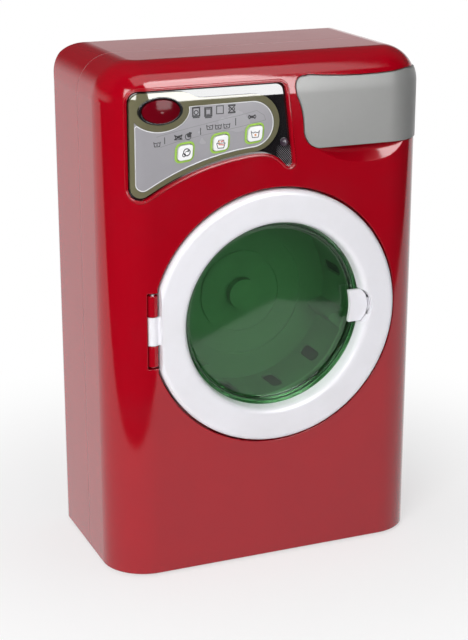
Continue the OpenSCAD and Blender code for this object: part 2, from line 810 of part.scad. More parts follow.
module left_limit(x) {
    box([-x, face_y - 20, 0], [body_w, face_y + 20, top_z]);
}
module door_ring() {
    color(white) union() {
        difference() {
            intersection() {
                round_door() rotate_extrude($fn = 128) ring_profile();
                left_limit(ring_flat);
            }
            intersection() {
                round_door() rotate_extrude($fn = 128) ring_pocket();
                left_limit(ring_flat - ring_wall);
                difference() {
                    left_limit(big / 2);
                    for (s = door_screw_at())
                        rod(s.x, door_cz + s.y, -ring_front, -door_boss_h, door_post_r);
                    for (s = [-1, 1]) latch_cheek(s);
                }
            }
            for (s = door_screw_at()) rod(s.x, door_cz + s.y, -skin_y + 1, 5, thread_r);
            latch_room();
            rod_z(latch_x, latch_y, door_cz - latch_pin_half, door_cz + latch_pin_half, latch_pin_r);
        }
        hinge_knuckle_of_door();
    }
}
// Blocks in the ring that carry the ends of the latch pin
module latch_cheek(s) {
    z0 = s < 0 ? -latch_half - 1.6 : latch_half - 0.6;
    box([latch_x - 3, face_y - skin_y - 1, door_cz + z0], [latch_x + 3.2, face_y, door_cz + z0 + 2.2]);
}
module rod_z(x, y, z0, z1, r) {
    translate([x, y, z0]) cylinder(h = z1 - z0, r = r);
}
// The door's middle knuckle and the arm that joins it to the ring
module hinge_knuckle_of_door() {
    difference() {
        union() {
            rod_z(hinge_x, hinge_y, door_cz - knuckle_half, door_cz + knuckle_half, knuckle_r);
            box([hinge_x, hinge_y - 2, door_cz - knuckle_half],
                [-ring_flat + 0.5, hinge_y + 2, door_cz + knuckle_half]);
        }
        rod_z(hinge_x, hinge_y, 0, top_z, hinge_pin_r + run_gap);
    }
}
module hinge_bracket() {
    color(red) difference() {
        union() {
            for (s = [-1, 1]) {
                z0 = s < 0 ? -hinge_half : knuckle_half + knuckle_gap;
                z1 = s < 0 ? -knuckle_half - knuckle_gap : hinge_half;
                rod_z(hinge_x, hinge_y, door_cz + z0, door_cz + z1, knuckle_r);
                box([hinge_x - 1.5, hinge_y, door_cz + z0], [hinge_x + 1.2, face_y + seat_d, door_cz + z1]);
            }
            // the leaf lies on the floor of the well, its pegs go through
            box([hinge_x - knuckle_r, face_y + seat_d - leaf_t, door_cz - hinge_half],
                [hinge_x + leaf_w, face_y + seat_d, door_cz + hinge_half]);
            for (z = hinge_pegs) rod(hinge_x, door_cz + z, 0, seat_d + wall + 0.6, peg_r);
        }
        rod_z(hinge_x, hinge_y, 0, top_z, hinge_pin_r);
        rod_z(hinge_x, hinge_y, door_cz - knuckle_half - knuckle_gap,
            door_cz + knuckle_half + knuckle_gap, knuckle_r + 0.4);
    }
}
knuckle_gap = 0.3;
leaf_t = 1.2;
leaf_w = 2.8;
// How far the hinge pin stands out of the outer knuckles
pin_over = 0.8;
module hinge_pin() {
    color(steel) rod_z(hinge_x, hinge_y, door_cz - hinge_half - pin_over, door_cz + hinge_half + pin_over,
        hinge_pin_r);
}
module door_back_ring() {
    color(white) difference() {
        union() {
            intersection() {
                rod(0, door_cz, -(rim_p - window_t), -rear_p, ring_r - ring_wall - 0.15);
                left_limit(ring_flat - ring_wall - 0.15);
            }
            for (s = door_screw_at()) rod(s.x, door_cz + s.y, -door_boss_h, -rear_p, door_post_r);
        }
        rod(0, door_cz, -ring_front, 20, window_r - 0.2);
        for (s = door_screw_at()) {
            rod(s.x, door_cz + s.y, -10, 20, screw_r);
            rod(s.x, door_cz + s.y, -rear_p - door_head_h - 0.1, 20, door_head_r + 0.2);
        }
        box([latch_x - 5.2, face_y - 10, door_cz - hook_half - 1],
            [hook_x + 2, face_y + 10, door_cz + hook_half + 1]);
    }
}
door_head_r = 2;
door_head_h = 1.2;
module door_screws() {
    color(steel) for (s = door_screw_at())
        screw_from_back(s.x, door_cz + s.y, -rear_p - door_head_h - 0.1, 5, door_head_r, door_head_h);
}
dish_r = window_r - 2.3;
dish_bulge = 3;
module door_window() {
    floor_r = (dish_r * dish_r + dish_bulge * dish_bulge) / (2 * dish_bulge);
    floor_p = rim_p - dish_d;
    centre_p = floor_p + dish_bulge - floor_r;
    wall_out = dish_r + window_t - 0.1;
    color(green) round_door() rotate_extrude($fn = 128) union() {
        translate([dish_r, rim_p - window_t]) square([window_r + flange_w - dish_r, window_t]);
        translate([dish_r, floor_p - window_t]) square([wall_out - dish_r, dish_d + window_t]);
        intersection() {
            difference() {
                translate([0, centre_p]) circle(floor_r, $fn = 720);
                translate([0, centre_p - window_t]) circle(floor_r, $fn = 720);
            }
            translate([0, floor_p - window_t - 1]) square([dish_r + 0.1, dish_bulge + window_t + 2]);
        }
    }
}

// Latch

latch_x = window_r + 7.5;
latch_p = 2.6;
latch_y = face_y - latch_p;
latch_hub_r = 2.2;
latch_face = 5;
latch_back = 2.5;
latch_l = window_r - 7.3;
latch_in = window_r + 4.5;
hook_x = latch_x + 1.6;
hook_half = 3;
hook_end = 6.5;
hook_gap = 0.9;
notch_half = hook_half + 1.5;
latch_pin_half = latch_half + 0.8;
hub_low = -7.2;
// Half the height of the web between the handle and its hub, within the handle's round end
web_half = 3.6;
hub_high = 3.8;
spring_wire = 0.22;
module latch_plate(g, p0, p1) {
    round_c = latch_in - latch_round + g;
    intersection() {
        rod(round_c, door_cz, -p1, -p0, latch_round + g * 0.2);
        box([latch_l - 3 * g, face_y - 20, door_cz - latch_half - g],
            [body_w, face_y + 20, door_cz + latch_half + g]);
    }
}
// The handle's round end moves outwards when it swings
latch_swing_gap = 0.4;
// Room in the ring for the latch: the pocket that shows and the chamber behind it
module latch_room() {
    for (x = [0, latch_swing_gap]) translate([x, 0, 0]) latch_plate(0.35, latch_back - 0.9, ring_front + 1);
    box([latch_in - 0.5, face_y - 6.4, door_cz - latch_half + 0.6],
        [latch_x + 2.8, face_y + 10, door_cz + latch_half - 0.6]);
}
module door_latch() {
    color(white) difference() {
        union() {
            difference() {
                latch_plate(0, latch_back, latch_face);
                // the free edge curves in a little, for the finger
                translate([latch_l - 34, face_y, door_cz]) rotate([90, 0, 0])
                    cylinder(h = 20, r = 34.9, $fn = 128);
            }
            box([latch_in - 3, latch_y - 1.9, door_cz - web_half],
                [latch_x, latch_y + 0.1, door_cz + hub_high]);
            rod_z(latch_x, latch_y, door_cz + hub_low, door_cz + hub_high, latch_hub_r);
            // arm and hook
            box([latch_x - 2.2, latch_y, door_cz - hook_half],
                [latch_x - 0.2, face_y + hook_end, door_cz + hook_half]);
            box([latch_x - 2.2, face_y + seat_d + wall + 0.4, door_cz - hook_half],
                [hook_x, face_y + hook_end, door_cz + hook_half]);
        }
        rod_z(latch_x, latch_y, 0, top_z, latch_pin_r + run_gap);
    }
}
module latch_pin() {
    color(steel) rod_z(latch_x, latch_y, door_cz - latch_pin_half + 0.1, door_cz + latch_pin_half - 0.1,
        latch_pin_r);
}
// Wound on the latch pin, with one leg towards the handle and one against the ring
module latch_spring() {
    r = latch_pin_r + 0.6;
    z0 = door_cz + hub_high + 0.4;
    z1 = door_cz + latch_half - 1.1;
    turns = 3.5;
    steps = turns * 12;
    path = concat(
        [[latch_x - 2.4, latch_y - r, z0]],
        [for (i = [0 : steps]) let (a = -90 - i * 30)
            [latch_x + r * cos(a), latch_y + r * sin(a), z0 + (z1 - z0) * i / steps]],
        [[latch_x + 2.2, latch_y + r, z1]]);
    color(steel) tube(path, spring_wire);
}

// Drum and its drive

module drum() {
    hub_r = 9;
    color([0.88, 0.88, 0.86]) difference() {
        union() {
            difference() {
                rod(0, door_cz, drum_front, drum_back, drum_r);
                rod(0, door_cz, drum_front - 1, drum_back - drum_wall, drum_r - drum_wall);
            }
            // rolled rim at the mouth
            at_depth(0, door_cz, drum_front + 1.2) rotate_extrude() translate([drum_r - 1.2, 0])
                circle(1.2, $fn = 24);
            rod(0, door_cz, drum_back - 7, drum_back - tiny, hub_r);
            for (i = [0 : paddles - 1]) at_depth(0, door_cz, drum_front + 3)
                rotate([0, 0, 360 * i / paddles + 15])
                paddle();
            // raised rings on the back wall
            for (r = [24, 38]) difference() {
                rod(0, door_cz, drum_back - drum_wall - 1, drum_back - tiny, r + 1);
                rod(0, door_cz, drum_back - drum_wall - 2, drum_back + 1, r - 1);
            }
        }
        for (i = [0 : drum_slots - 1]) rotate_slot(i) slot();
        rod(0, door_cz, drum_back - 5, drum_back + 1, axle_r);
    }
}
// A paddle: a ridge with sloping sides and a round crest, drawn along the drum
module paddle() {
    len = drum_back - drum_front - 3 - drum_wall / 2;
    linear_extrude(len) translate([drum_r - drum_wall / 2, 0]) polygon(concat(
        [[0, -6], [0, 6]], [[-1.2, 5.6]],
        arc([-paddle_h + 2, 0], 2, 120, 240, 6),
        [[-1.2, -5.6]]));
}
module rotate_slot(i) {
    translate([0, 0, door_cz]) rotate([0, -360 * i / drum_slots - 180 / drum_slots, 0])
        translate([0, 0, -door_cz]) children();
}
// One long slot with round ends through the drum's wall
module slot() {
    r = slot_w / 2;
    d0 = drum_front + 7 + r;
    d1 = drum_back - 6 - r;
    for (d = [d0, d1]) translate([drum_r - 3.4, face_y + d, door_cz]) rotate([0, 90, 0])
        cylinder(h = 6, r = r, $fn = 24);
    box([drum_r - 3.4, face_y + d0, door_cz - r], [drum_r + 2.6, face_y + d1, door_cz + r]);
}
module drum_axle() {
    color(steel) rod(0, door_cz, drum_back - 5, gear_d + gear_t + 0.6, axle_r);
}
// Involute gear teeth
pressure_a = 25;
function involute(rb, t) = [rb * (cos(t) + t * PI / 180 * sin(t)), rb * (sin(t) - t * PI / 180 * cos(t))];
function turned(p, a) = [p.x * cos(a) - p.y * sin(a), p.x * sin(a) + p.y * cos(a)];
function roll_to(rb, r) = sqrt(max(0, r * r / (rb * rb) - 1)) * 180 / PI;
function gear_points(teeth, m) =
    let (
        rp = teeth * m / 2, rb = rp * cos(pressure_a), ra = rp + 0.9 * m, rf = rp - 1.2 * m,
        q = involute(rb, roll_to(rb, rp)), lead = atan2(q.y, q.x),
        half = 90 / teeth - backlash / 4 / rp * 180 / PI,
        t0 = roll_to(rb, max(rb, rf)), t1 = roll_to(rb, ra), k = 4,
        foot = involute(rb, t0), root = half + lead - atan2(foot.y, foot.x) + 0.3
    )
    [for (i = [0 : teeth - 1]) let (a = i * 360 / teeth) each concat(
        [turned([rf, 0], a - root)],
        [for (j = [0 : k]) turned(involute(rb, t0 + (t1 - t0) * j / k), a - half - lead)],
        [for (j = [k : -1 : 0]) let (p = involute(rb, t0 + (t1 - t0) * j / k))
            turned([p.x, -p.y], a + half + lead)],
        [turned([rf, 0], a + root)])];
module gear(teeth, m, t, phase = 0) {
    rotate([0, 0, phase]) linear_extrude(t) polygon(gear_points(teeth, m));
}
idler_dist = (drum_teeth + idler_small_teeth) * drum_mod / 2;
motor_dist = (idler_large_teeth + pinion_teeth) * motor_mod / 2;
drive_a = -60;
idler_c = idler_dist * [cos(drive_a), sin(drive_a)];
motor_c = (idler_dist + motor_dist) * [cos(drive_a), sin(drive_a)];
// Depth runs into the drawing plane's mirror, so angles are taken the other way round
mesh_a = -drive_a;
module drum_gear() {
    color(pale) difference() {
        union() {
            at_depth(0, door_cz, gear_d) gear(drum_teeth, drum_mod, gear_t, mesh_a);
            rod(0, door_cz, housing_face + 1.6, gear_d + tiny, 6);
        }
        rod(0, door_cz, 0, body_d, axle_r);
        for (a = [0 : 60 : 300]) rod(18 * cos(a), door_cz + 18 * sin(a), gear_d - 1, gear_d + gear_t + 1,
            5.5);
    }
}
module idler_gear() {
    small_phase = mesh_a + 180 + 180 / idler_small_teeth;
    color(pale) difference() {
        union() {
            at_depth(idler_c.x, door_cz + idler_c.y, gear_d)
                gear(idler_small_teeth, drum_mod, gear_t + 1 + tiny, small_phase);
            at_depth(idler_c.x, door_cz + idler_c.y, idler_large_d)
                gear(idler_large_teeth, motor_mod, idler_large_t, mesh_a);
            rod(idler_c.x, door_cz + idler_c.y, housing_face + 1, gear_d + tiny, 3.4);
        }
        rod(idler_c.x, door_cz + idler_c.y, 0, body_d, idler_axle_r + run_gap);
    }
}
idler_axle_r = 1.5;
module idler_axle() {
    color(steel) rod(idler_c.x, door_cz + idler_c.y, housing_back, cover_d + cover_t, idler_axle_r);
}
module motor_pinion() {
    phase = mesh_a + 180 + 180 / pinion_teeth;
    color([0.8, 0.65, 0.3]) difference() {
        at_depth(motor_c.x, door_cz + motor_c.y, idler_large_d - 0.4)
            gear(pinion_teeth, motor_mod, idler_large_t + 1, phase);
        rod(motor_c.x, door_cz + motor_c.y, 0, body_d, shaft_r);
    }
}
shaft_r = 1;
can_r = 10.2;
can_half = 7.7;
module motor_shaft() {
    color(steel) rod(motor_c.x, door_cz + motor_c.y, idler_large_d - 0.8, motor_d + 8, shaft_r);
}
module motor() {
    color(steel) difference() {
        union() {
            intersection() {
                rod(motor_c.x, door_cz + motor_c.y, motor_d, motor_d + motor_len, can_r);
                box([motor_c.x - can_r, face_y, door_cz + motor_c.y - can_half],
                    [motor_c.x + can_r, back_y, door_cz + motor_c.y + can_half]);
            }
            rod(motor_c.x, door_cz + motor_c.y, motor_d - 1.5, motor_d + tiny, 3);
        }
        rod(motor_c.x, door_cz + motor_c.y, motor_d - 3, motor_d + 9, shaft_r + run_gap);
    }
}
function cover_posts() = [idler_c + [22, 12], idler_c + [-22, -3.6], motor_c + [-20, -5.6]];
module drum_housing() {
    color([0.32, 0.32, 0.34]) difference() {
        union() {
            rod(0, door_cz, collar_end, housing_face, housing_r + housing_wall);
            rod(0, door_cz, collar_end, collar_end + 2, port_r + collar_t);
            for (e = ears()) rod(e.x, door_cz + e.y, collar_end, collar_end + 2, 4);
            for (a = [45 : 90 : 315]) slab(collar_end, collar_end + 2)
                translate([0, door_cz]) rotate(a) translate([port_r, -4]) square([10, 8]);
            for (p = cover_posts()) rod(p.x, door_cz + p.y, housing_back, cover_d, 3);
            rod(idler_c.x, door_cz + idler_c.y, housing_back, housing_face + 0.8, 4);
        }
        rod(0, door_cz, collar_end - 1, housing_back, housing_r);
        rod(0, door_cz, housing_back - 1, housing_face + 5, bush_r);
        rod(idler_c.x, door_cz + idler_c.y, housing_back, cover_d + 5, idler_axle_r);
        for (e = ears()) rod(e.x, door_cz + e.y, collar_end - 1, collar_end + 5, screw_r);
        for (p = cover_posts()) rod(p.x, door_cz + p.y, cover_d - 8, cover_d + 1, screw_r - 0.2);
    }
}
bush_r = 5;
module drum_bush() {
    color([0.8, 0.7, 0.45]) difference() {
        union() {
            rod(0, door_cz, housing_back - 0.8, housing_face + 0.4, bush_r);
            rod(0, door_cz, housing_face, housing_face + 1.2, bush_r + 1.5);
        }
        rod(0, door_cz, drum_back, body_d, axle_r + run_gap);
    }
}
module housing_screws() {
    color(steel) {
        for (e = ears()) screw_from_back(e.x, door_cz + e.y, collar_end + 2, 7);
        for (p = cover_posts()) screw_from_back(p.x, door_cz + p.y, cover_d + cover_t, 8);
    }
}
module gear_cover() {
    color(pale) difference() {
        union() {
            hull() {
                for (p = cover_posts()) rod(p.x, door_cz + p.y, cover_d, cover_d + cover_t, 4, $fn = 32);
                rod(motor_c.x, door_cz + motor_c.y, cover_d, cover_d + cover_t, can_r + 1, $fn = 32);
            }
        }
        rod(motor_c.x, door_cz + motor_c.y, cover_d - 1, motor_d + 1, 3.1);
        rod(idler_c.x, door_cz + idler_c.y, cover_d - 1, motor_d + 1, idler_axle_r);
        for (p = cover_posts()) rod(p.x, door_cz + p.y, cover_d - 1, motor_d + 1, screw_r);
    }
}

// Power and sound

box_wall = 2;
cell_gap = 0.4;
pack_w = cells * (cell_d + cell_gap) + cell_gap;
pack_low = base_z + 12;
// Middle of the pack, which stands beside the motor
pack_x = -16;
spring_room = 5;
plate_t = 0.5;
nub_h = 1;
pack_h = cell_len + spring_room + 2 * plate_t;
pack_top = pack_low + pack_h;
pack_d = body_d - wall - cell_d - 2 * cell_gap;
door_lap = 1;
tab_w = 12;
tab_h = 9;
tab_z = pack_top + 4.6;
// Outline of the battery door with its screw tab, grown by g
module battery_outline(g) {
    translate([pack_x - pack_w / 2 - door_lap - g, pack_low - door_lap - g])
        square([pack_w + 2 * (door_lap + g), pack_h + 2 * (door_lap + g)]);
    translate([pack_x - tab_w / 2 - g, pack_top]) square([tab_w + 2 * g, tab_h + g]);
}
module battery_opening() {
    slab(body_d - wall - 1, body_d + 1) battery_outline(slide_gap);
}
module battery_box() {
    color(black) translate([pack_x, 0, 0]) difference() {
        union() {
            box([-pack_w / 2 - box_wall, face_y + pack_d - box_wall, pack_low - box_wall],
                [pack_w / 2 + box_wall, back_y - wall, pack_top + box_wall]);
            box([-tab_w / 2 - 1, back_y - wall - 10, pack_top],
                [tab_w / 2 + 1, back_y - wall, pack_top + tab_h + 1]);
        }
        box([-pack_w / 2, face_y + pack_d, pack_low], [pack_w / 2, back_y, pack_top]);
        rod(0, tab_z, body_d - wall - 8, body_d, thread_r);
    }
}
cell_y = face_y + pack_d + cell_gap + cell_d / 2;
function cell_x(i) = pack_x - pack_w / 2 + cell_gap + cell_d / 2 + i * (cell_d + cell_gap);
// Places what belongs to cell i, whose positive end points up or, for odd i, down
module at_cell(i) {
    translate([cell_x(i), cell_y, (pack_low + pack_top) / 2]) rotate([180 * (i % 2), 0, 0]) children();
}
cell_top = pack_h / 2 - plate_t;
module battery_cells() {
    color([0.25, 0.27, 0.3]) for (i = [0 : cells - 1]) at_cell(i) {
        translate([0, 0, cell_top - cell_len]) cylinder(h = cell_len - nub_h, r = cell_d / 2);
        translate([0, 0, cell_top - nub_h - tiny]) cylinder(h = nub_h + tiny, r = 2.7);
    }
}
module battery_contacts() {
    color(steel) for (i = [0 : cells - 1]) at_cell(i) {
        for (z = [-pack_h / 2, cell_top]) translate([-5, -5, z]) cube([10, 10, plate_t]);
        translate([0, 0, -cell_top - tiny]) coil(3.6, 0.35, 4, spring_room + tiny);
    }
}
module battery_door() {
    color(red) difference() {
        slab(body_d - wall, body_d) battery_outline(0);
        rod(pack_x, tab_z, body_d - wall - 1, body_d + 1, screw_r + 0.1);
        rod(pack_x, tab_z, body_d - screw_head_h, body_d + 1, screw_head_r + 0.3);
        // grip grooves
        for (i = [0 : 4]) box([pack_x - 12, back_y - 0.8, pack_low + 6 + i * 3],
            [pack_x + 12, back_y + 1, pack_low + 7.2 + i * 3]);
    }
}
module battery_screw() {
    color(steel) screw_from_back(pack_x, tab_z, body_d - screw_head_h, 7);
}
speaker_at = [-40, 88];
module speaker_grille() {
    for (i = [-3 : 3]) let (h = sqrt(speaker_r * speaker_r - 36 * i * i / 1.6) * 0.8)
        box([speaker_at.x + i * 5 - 1.2, back_y - wall - 1, door_cz + speaker_at.y - h],
            [speaker_at.x + i * 5 + 1.2, back_y + 1, door_cz + speaker_at.y + h]);
}
module speaker() {
    color(black) {
        rod(speaker_at.x, door_cz + speaker_at.y, body_d - wall - 3, body_d - wall, speaker_r);
        at_depth(speaker_at.x, door_cz + speaker_at.y, body_d - wall - 8)
            cylinder(h = 5 + tiny, r1 = speaker_r * 0.6, r2 = speaker_r);
        rod(speaker_at.x, door_cz + speaker_at.y, body_d - wall - 12, body_d - wall - 7, speaker_r * 0.5);
    }
}

front_shell();
rear_shell();
shell_screws();
feet();
panel_backing();
panel_bezel();
panel_fascia();
start_ring();
key_frames();
indicator_lamp();
start_button();
spin_key();
wash_key();
rinse_key();
start_spring();
spin_dome();
wash_dome();
rinse_dome();
control_board();
board_screws();
drawer_front();
drawer_tray();
drawer_guide();
at_door() door_ring();
at_door() door_back_ring();
at_door() door_window();
at_door() door_screws();
at_door() hinge_bracket();
at_door() hinge_pin();
at_door() door_latch();
at_door() latch_pin();
at_door() latch_spring();
at_door() drum();
at_door() drum_axle();
at_door() drum_gear();
at_door() drum_bush();
at_door() drum_housing();
at_door() housing_screws();
at_door() idler_gear();
at_door() idler_axle();
at_door() gear_cover();
at_door() motor();
at_door() motor_shaft();
at_door() motor_pinion();
battery_box();
battery_cells();
battery_contacts();
battery_door();
battery_screw();
speaker();
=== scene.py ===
"""Looks of a toy washing machine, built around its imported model. Metres, +Z up, the front faces -Y."""

import json
import math

import bpy
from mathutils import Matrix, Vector


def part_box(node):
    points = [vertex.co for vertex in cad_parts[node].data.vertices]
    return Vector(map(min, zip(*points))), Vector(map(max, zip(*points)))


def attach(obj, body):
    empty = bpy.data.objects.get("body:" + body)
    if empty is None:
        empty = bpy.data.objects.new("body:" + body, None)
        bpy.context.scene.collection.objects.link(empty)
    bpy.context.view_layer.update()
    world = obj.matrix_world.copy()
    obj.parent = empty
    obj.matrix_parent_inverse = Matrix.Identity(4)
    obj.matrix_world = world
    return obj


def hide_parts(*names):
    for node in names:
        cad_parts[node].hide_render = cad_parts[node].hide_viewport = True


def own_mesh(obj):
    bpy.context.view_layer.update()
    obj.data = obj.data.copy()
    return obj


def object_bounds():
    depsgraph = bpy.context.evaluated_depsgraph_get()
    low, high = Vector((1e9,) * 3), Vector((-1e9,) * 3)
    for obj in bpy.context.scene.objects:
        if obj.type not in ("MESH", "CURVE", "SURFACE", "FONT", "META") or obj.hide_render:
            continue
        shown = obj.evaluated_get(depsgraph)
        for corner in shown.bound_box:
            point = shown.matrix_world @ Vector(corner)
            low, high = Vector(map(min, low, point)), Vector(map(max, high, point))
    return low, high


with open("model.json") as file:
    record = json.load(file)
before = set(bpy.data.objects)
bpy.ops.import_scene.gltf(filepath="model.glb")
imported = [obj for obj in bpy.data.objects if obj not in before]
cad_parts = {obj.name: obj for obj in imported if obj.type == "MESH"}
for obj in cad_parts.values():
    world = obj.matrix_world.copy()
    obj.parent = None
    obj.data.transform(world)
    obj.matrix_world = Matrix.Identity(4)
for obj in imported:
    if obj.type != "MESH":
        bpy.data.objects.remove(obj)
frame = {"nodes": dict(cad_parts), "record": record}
cad_low, cad_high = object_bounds()
nodes = frame["nodes"]

MM = 0.001

# The level that heights on the panel are measured from, a set distance below the top of the cabinet
HEAD_DROP = 142 * MM
HEAD = cad_high.z - HEAD_DROP


# Objects and selection


def new_object(name, data):
    made = bpy.data.objects.new(name, data)
    bpy.context.collection.objects.link(made)
    return made


def select(*pieces):
    """Selects these objects and no others, with the first one active."""
    bpy.ops.object.select_all(action="DESELECT")
    for piece in pieces:
        piece.select_set(True)
    if pieces:
        bpy.context.view_layer.objects.active = pieces[0]


def start_edit():
    bpy.ops.object.mode_set(mode="EDIT")
    bpy.ops.mesh.select_all(action="SELECT")


def end_edit():
    bpy.ops.object.mode_set(mode="OBJECT")


def smooth_below(degrees):
    bpy.ops.object.shade_smooth_by_angle(angle=math.radians(degrees))


def apply_transform():
    bpy.ops.object.transform_apply(location=True, rotation=True, scale=True)


# Shader nodes


def feed(tree, socket, value):
    """Gives a socket what another node puts out, or a number, or a colour of three parts."""
    if isinstance(value, bpy.types.NodeSocket):
        tree.links.new(value, socket)
    elif isinstance(value, tuple):
        socket.default_value = (*value, 1)
    else:
        socket.default_value = value


def object_place(tree):
    return tree.nodes.new("ShaderNodeTexCoord").outputs["Object"]


def split_axis(tree, coordinate, axis):
    split = tree.nodes.new("ShaderNodeSeparateXYZ")
    feed(tree, split.inputs[0], coordinate)
    return split.outputs[axis]


def arithmetic(tree, operation, *values):
    node = tree.nodes.new("ShaderNodeMath")
    node.operation = operation
    for socket, value in zip(node.inputs, values):
        feed(tree, socket, value)
    return node.outputs[0]


def stretch(tree, value, low, high, out_low=0.0, out_high=1.0, kind="LINEAR"):
    """What lies between two values, stretched to lie between two others and kept within them."""
    node = tree.nodes.new("ShaderNodeMapRange")
    node.interpolation_type = kind
    feed(tree, node.inputs["Value"], value)
    for label, given in (("From Min", low), ("From Max", high), ("To Min", out_low), ("To Max", out_high)):
        feed(tree, node.inputs[label], given)
    return node.outputs["Result"]


def ramp(tree, value, low, high, out_low, out_high):
    return stretch(tree, value, low, high, out_low, out_high, kind="SMOOTHSTEP")


def noise(tree, vector, scale, detail, rough=0.5):
    node = tree.nodes.new("ShaderNodeTexNoise")
    for label, given in (("Vector", vector), ("Scale", scale), ("Detail", detail), ("Roughness", rough)):
        feed(tree, node.inputs[label], given)
    return node.outputs["Fac"]


def colour_mix(tree, factor, first, second):
    node = tree.nodes.new("ShaderNodeMix")
    node.data_type = "RGBA"
    feed(tree, node.inputs[0], factor)
    feed(tree, node.inputs[6], first)
    feed(tree, node.inputs[7], second)
    return node.outputs[2]


def shader_of(tree, kind, **values):
    node = tree.nodes.new(kind)
    for label, value in values.items():
        feed(tree, node.inputs[label], value)
    return node.outputs[0]


def shader_mix(tree, factor, first, second):
    node = tree.nodes.new("ShaderNodeMixShader")
    for socket, value in zip(node.inputs, (factor, first, second)):
        feed(tree, socket, value)
    return node.outputs[0]


def by_ray(tree, usual, **seen):
    """The usual shader, with another one for each kind of ray that is named."""
    path = tree.nodes.new("ShaderNodeLightPath")
    for ray, shader in seen.items():
        usual = shader_mix(tree, path.outputs[f"Is {ray} Ray"], usual, shader)
    return usual


def new_material(name):
    material = bpy.data.materials.new(name)
    material.use_nodes = True
    return material, material.node_tree, material.node_tree.nodes["Principled BSDF"]


# Camera, light and floor

FOCAL_LENGTH = 92.436
FILM_WIDTH = 36
CAMERA_PLACE = (-0.35213, -0.83838, 0.42149)
CAMERA_TURN = (72.149, 0, -22.574)


def add_camera():
    lens = bpy.data.cameras.new("camera")
    lens.lens = FOCAL_LENGTH
    lens.sensor_width = FILM_WIDTH
    camera = new_object("camera", lens)
    camera.location = CAMERA_PLACE
    camera.rotation_euler = [math.radians(a) for a in CAMERA_TURN]
    bpy.context.scene.camera = camera
    bpy.context.scene.view_settings.view_transform = "Standard"


def softbox(name, place, aim, width, height, power, lights=True, mirrored=True):
    """A soft rectangular lamp at a place, turned towards a point."""
    lamp = bpy.data.lights.new(name, "AREA")
    lamp.shape = "RECTANGLE"
    lamp.size, lamp.size_y = width, height
    lamp.energy = power
    holder = new_object(name, lamp)
    holder.location = place
    holder.rotation_euler = (Vector(aim) - Vector(place)).to_track_quat("-Z", "Y").to_euler()
    holder.visible_camera = False
    holder.visible_diffuse = lights
    holder.visible_glossy = mirrored


def add_studio():
    """A key at the left, a lamp above, and two lamps that only the gloss shows."""
    softbox("reflected_softbox", (0.075, -0.35, 0.42), (-0.045, -0.05, 0.29), 0.2, 0.44, 3.0, lights=False)
    softbox("key_softbox", (-0.62, -0.80, 0.62), (0.0, -0.04, 0.15), 0.55, 0.55, 8.6)
    softbox("top_softbox", (0.1, 0.0, 1.3), (0.0, 0.0, 0.15), 0.9, 0.9, 4.6, mirrored=False)
    softbox("reflected_band", (0.05, -0.42, 1.10), (0.0, -0.04, 0.28), 0.9, 0.5, 2.6, lights=False)


WHITE = (1, 1, 1)
COOL_WHITE = (0.95, 0.97, 1)
LEFT_FILL = 0.39
RIGHT_FILL = 0.09
ROOM_IN_FRONT = 0.03
ROOM_ABOVE = 0.08
FRONT_TO_BACK = (-0.25, 0.25)
LOW_TO_HIGH = (0.02, 0.28)
LEFT_TO_RIGHT = (-0.6, 0.8)


def add_surroundings():
    """White to the eye, a soft fill that is stronger from the left, and a dim room where the gloss looks.

    The room is white only low down and behind the toy.
    """
    world = bpy.data.worlds.new("studio")
    bpy.context.scene.world = world
    world.use_nodes = True
    tree = world.node_tree
    tree.nodes.clear()
    out = tree.nodes.new("ShaderNodeOutputWorld")
    direction = tree.nodes.new("ShaderNodeTexCoord").outputs["Generated"]
    behind = ramp(tree, split_axis(tree, direction, "Y"), *FRONT_TO_BACK, ROOM_IN_FRONT, 1.0)
    height = ramp(tree, split_axis(tree, direction, "Z"), *LOW_TO_HIGH, 1.0, ROOM_ABOVE)
    side = ramp(tree, split_axis(tree, direction, "X"), *LEFT_TO_RIGHT, LEFT_FILL, RIGHT_FILL)
    room = arithmetic(tree, "MULTIPLY", behind, height)
    fill = shader_of(tree, "ShaderNodeBackground", Color=COOL_WHITE, Strength=side)
    white = shader_of(tree, "ShaderNodeBackground", Color=WHITE, Strength=1.0)
    gloss = shader_of(tree, "ShaderNodeBackground", Color=WHITE, Strength=room)
    feed(tree, out.inputs["Surface"], by_ray(tree, fill, Glossy=gloss, Transmission=white, Camera=white))


SHEET_DARK = 0.03
SHEET_BLUR = 0.008
LEFT_EDGE = (0.75, -0.344)
RIGHT_EDGE = (-0.68, -0.646)
FLOOR_SIZE = 8
FLOOR_COLOUR = (0.9, 0.9, 0.9)
VEIL_START = 0.10
VEIL_FULL = 0.32
VEIL_NEAR_TOY = 0.6


def behind_edge(tree, place, slope, start):
    """1 on the floor behind a straight edge where y + slope * x is start, and nearly 0 in front of it."""
    x, y = split_axis(tree, place, "X"), split_axis(tree, place, "Y")
    over = arithmetic(tree, "ADD", y, arithmetic(tree, "MULTIPLY", x, slope))
    return ramp(tree, over, start - SHEET_BLUR, start + SHEET_BLUR, SHEET_DARK, 1.0)


def white_sheet(tree, place):
    """How white the gloss of the toy finds the floor: a sheet whose corner lies in front and to the right."""
    left = behind_edge(tree, place, *LEFT_EDGE)
    right = behind_edge(tree, place, *RIGHT_EDGE)
    return arithmetic(tree, "MINIMUM", left, right)


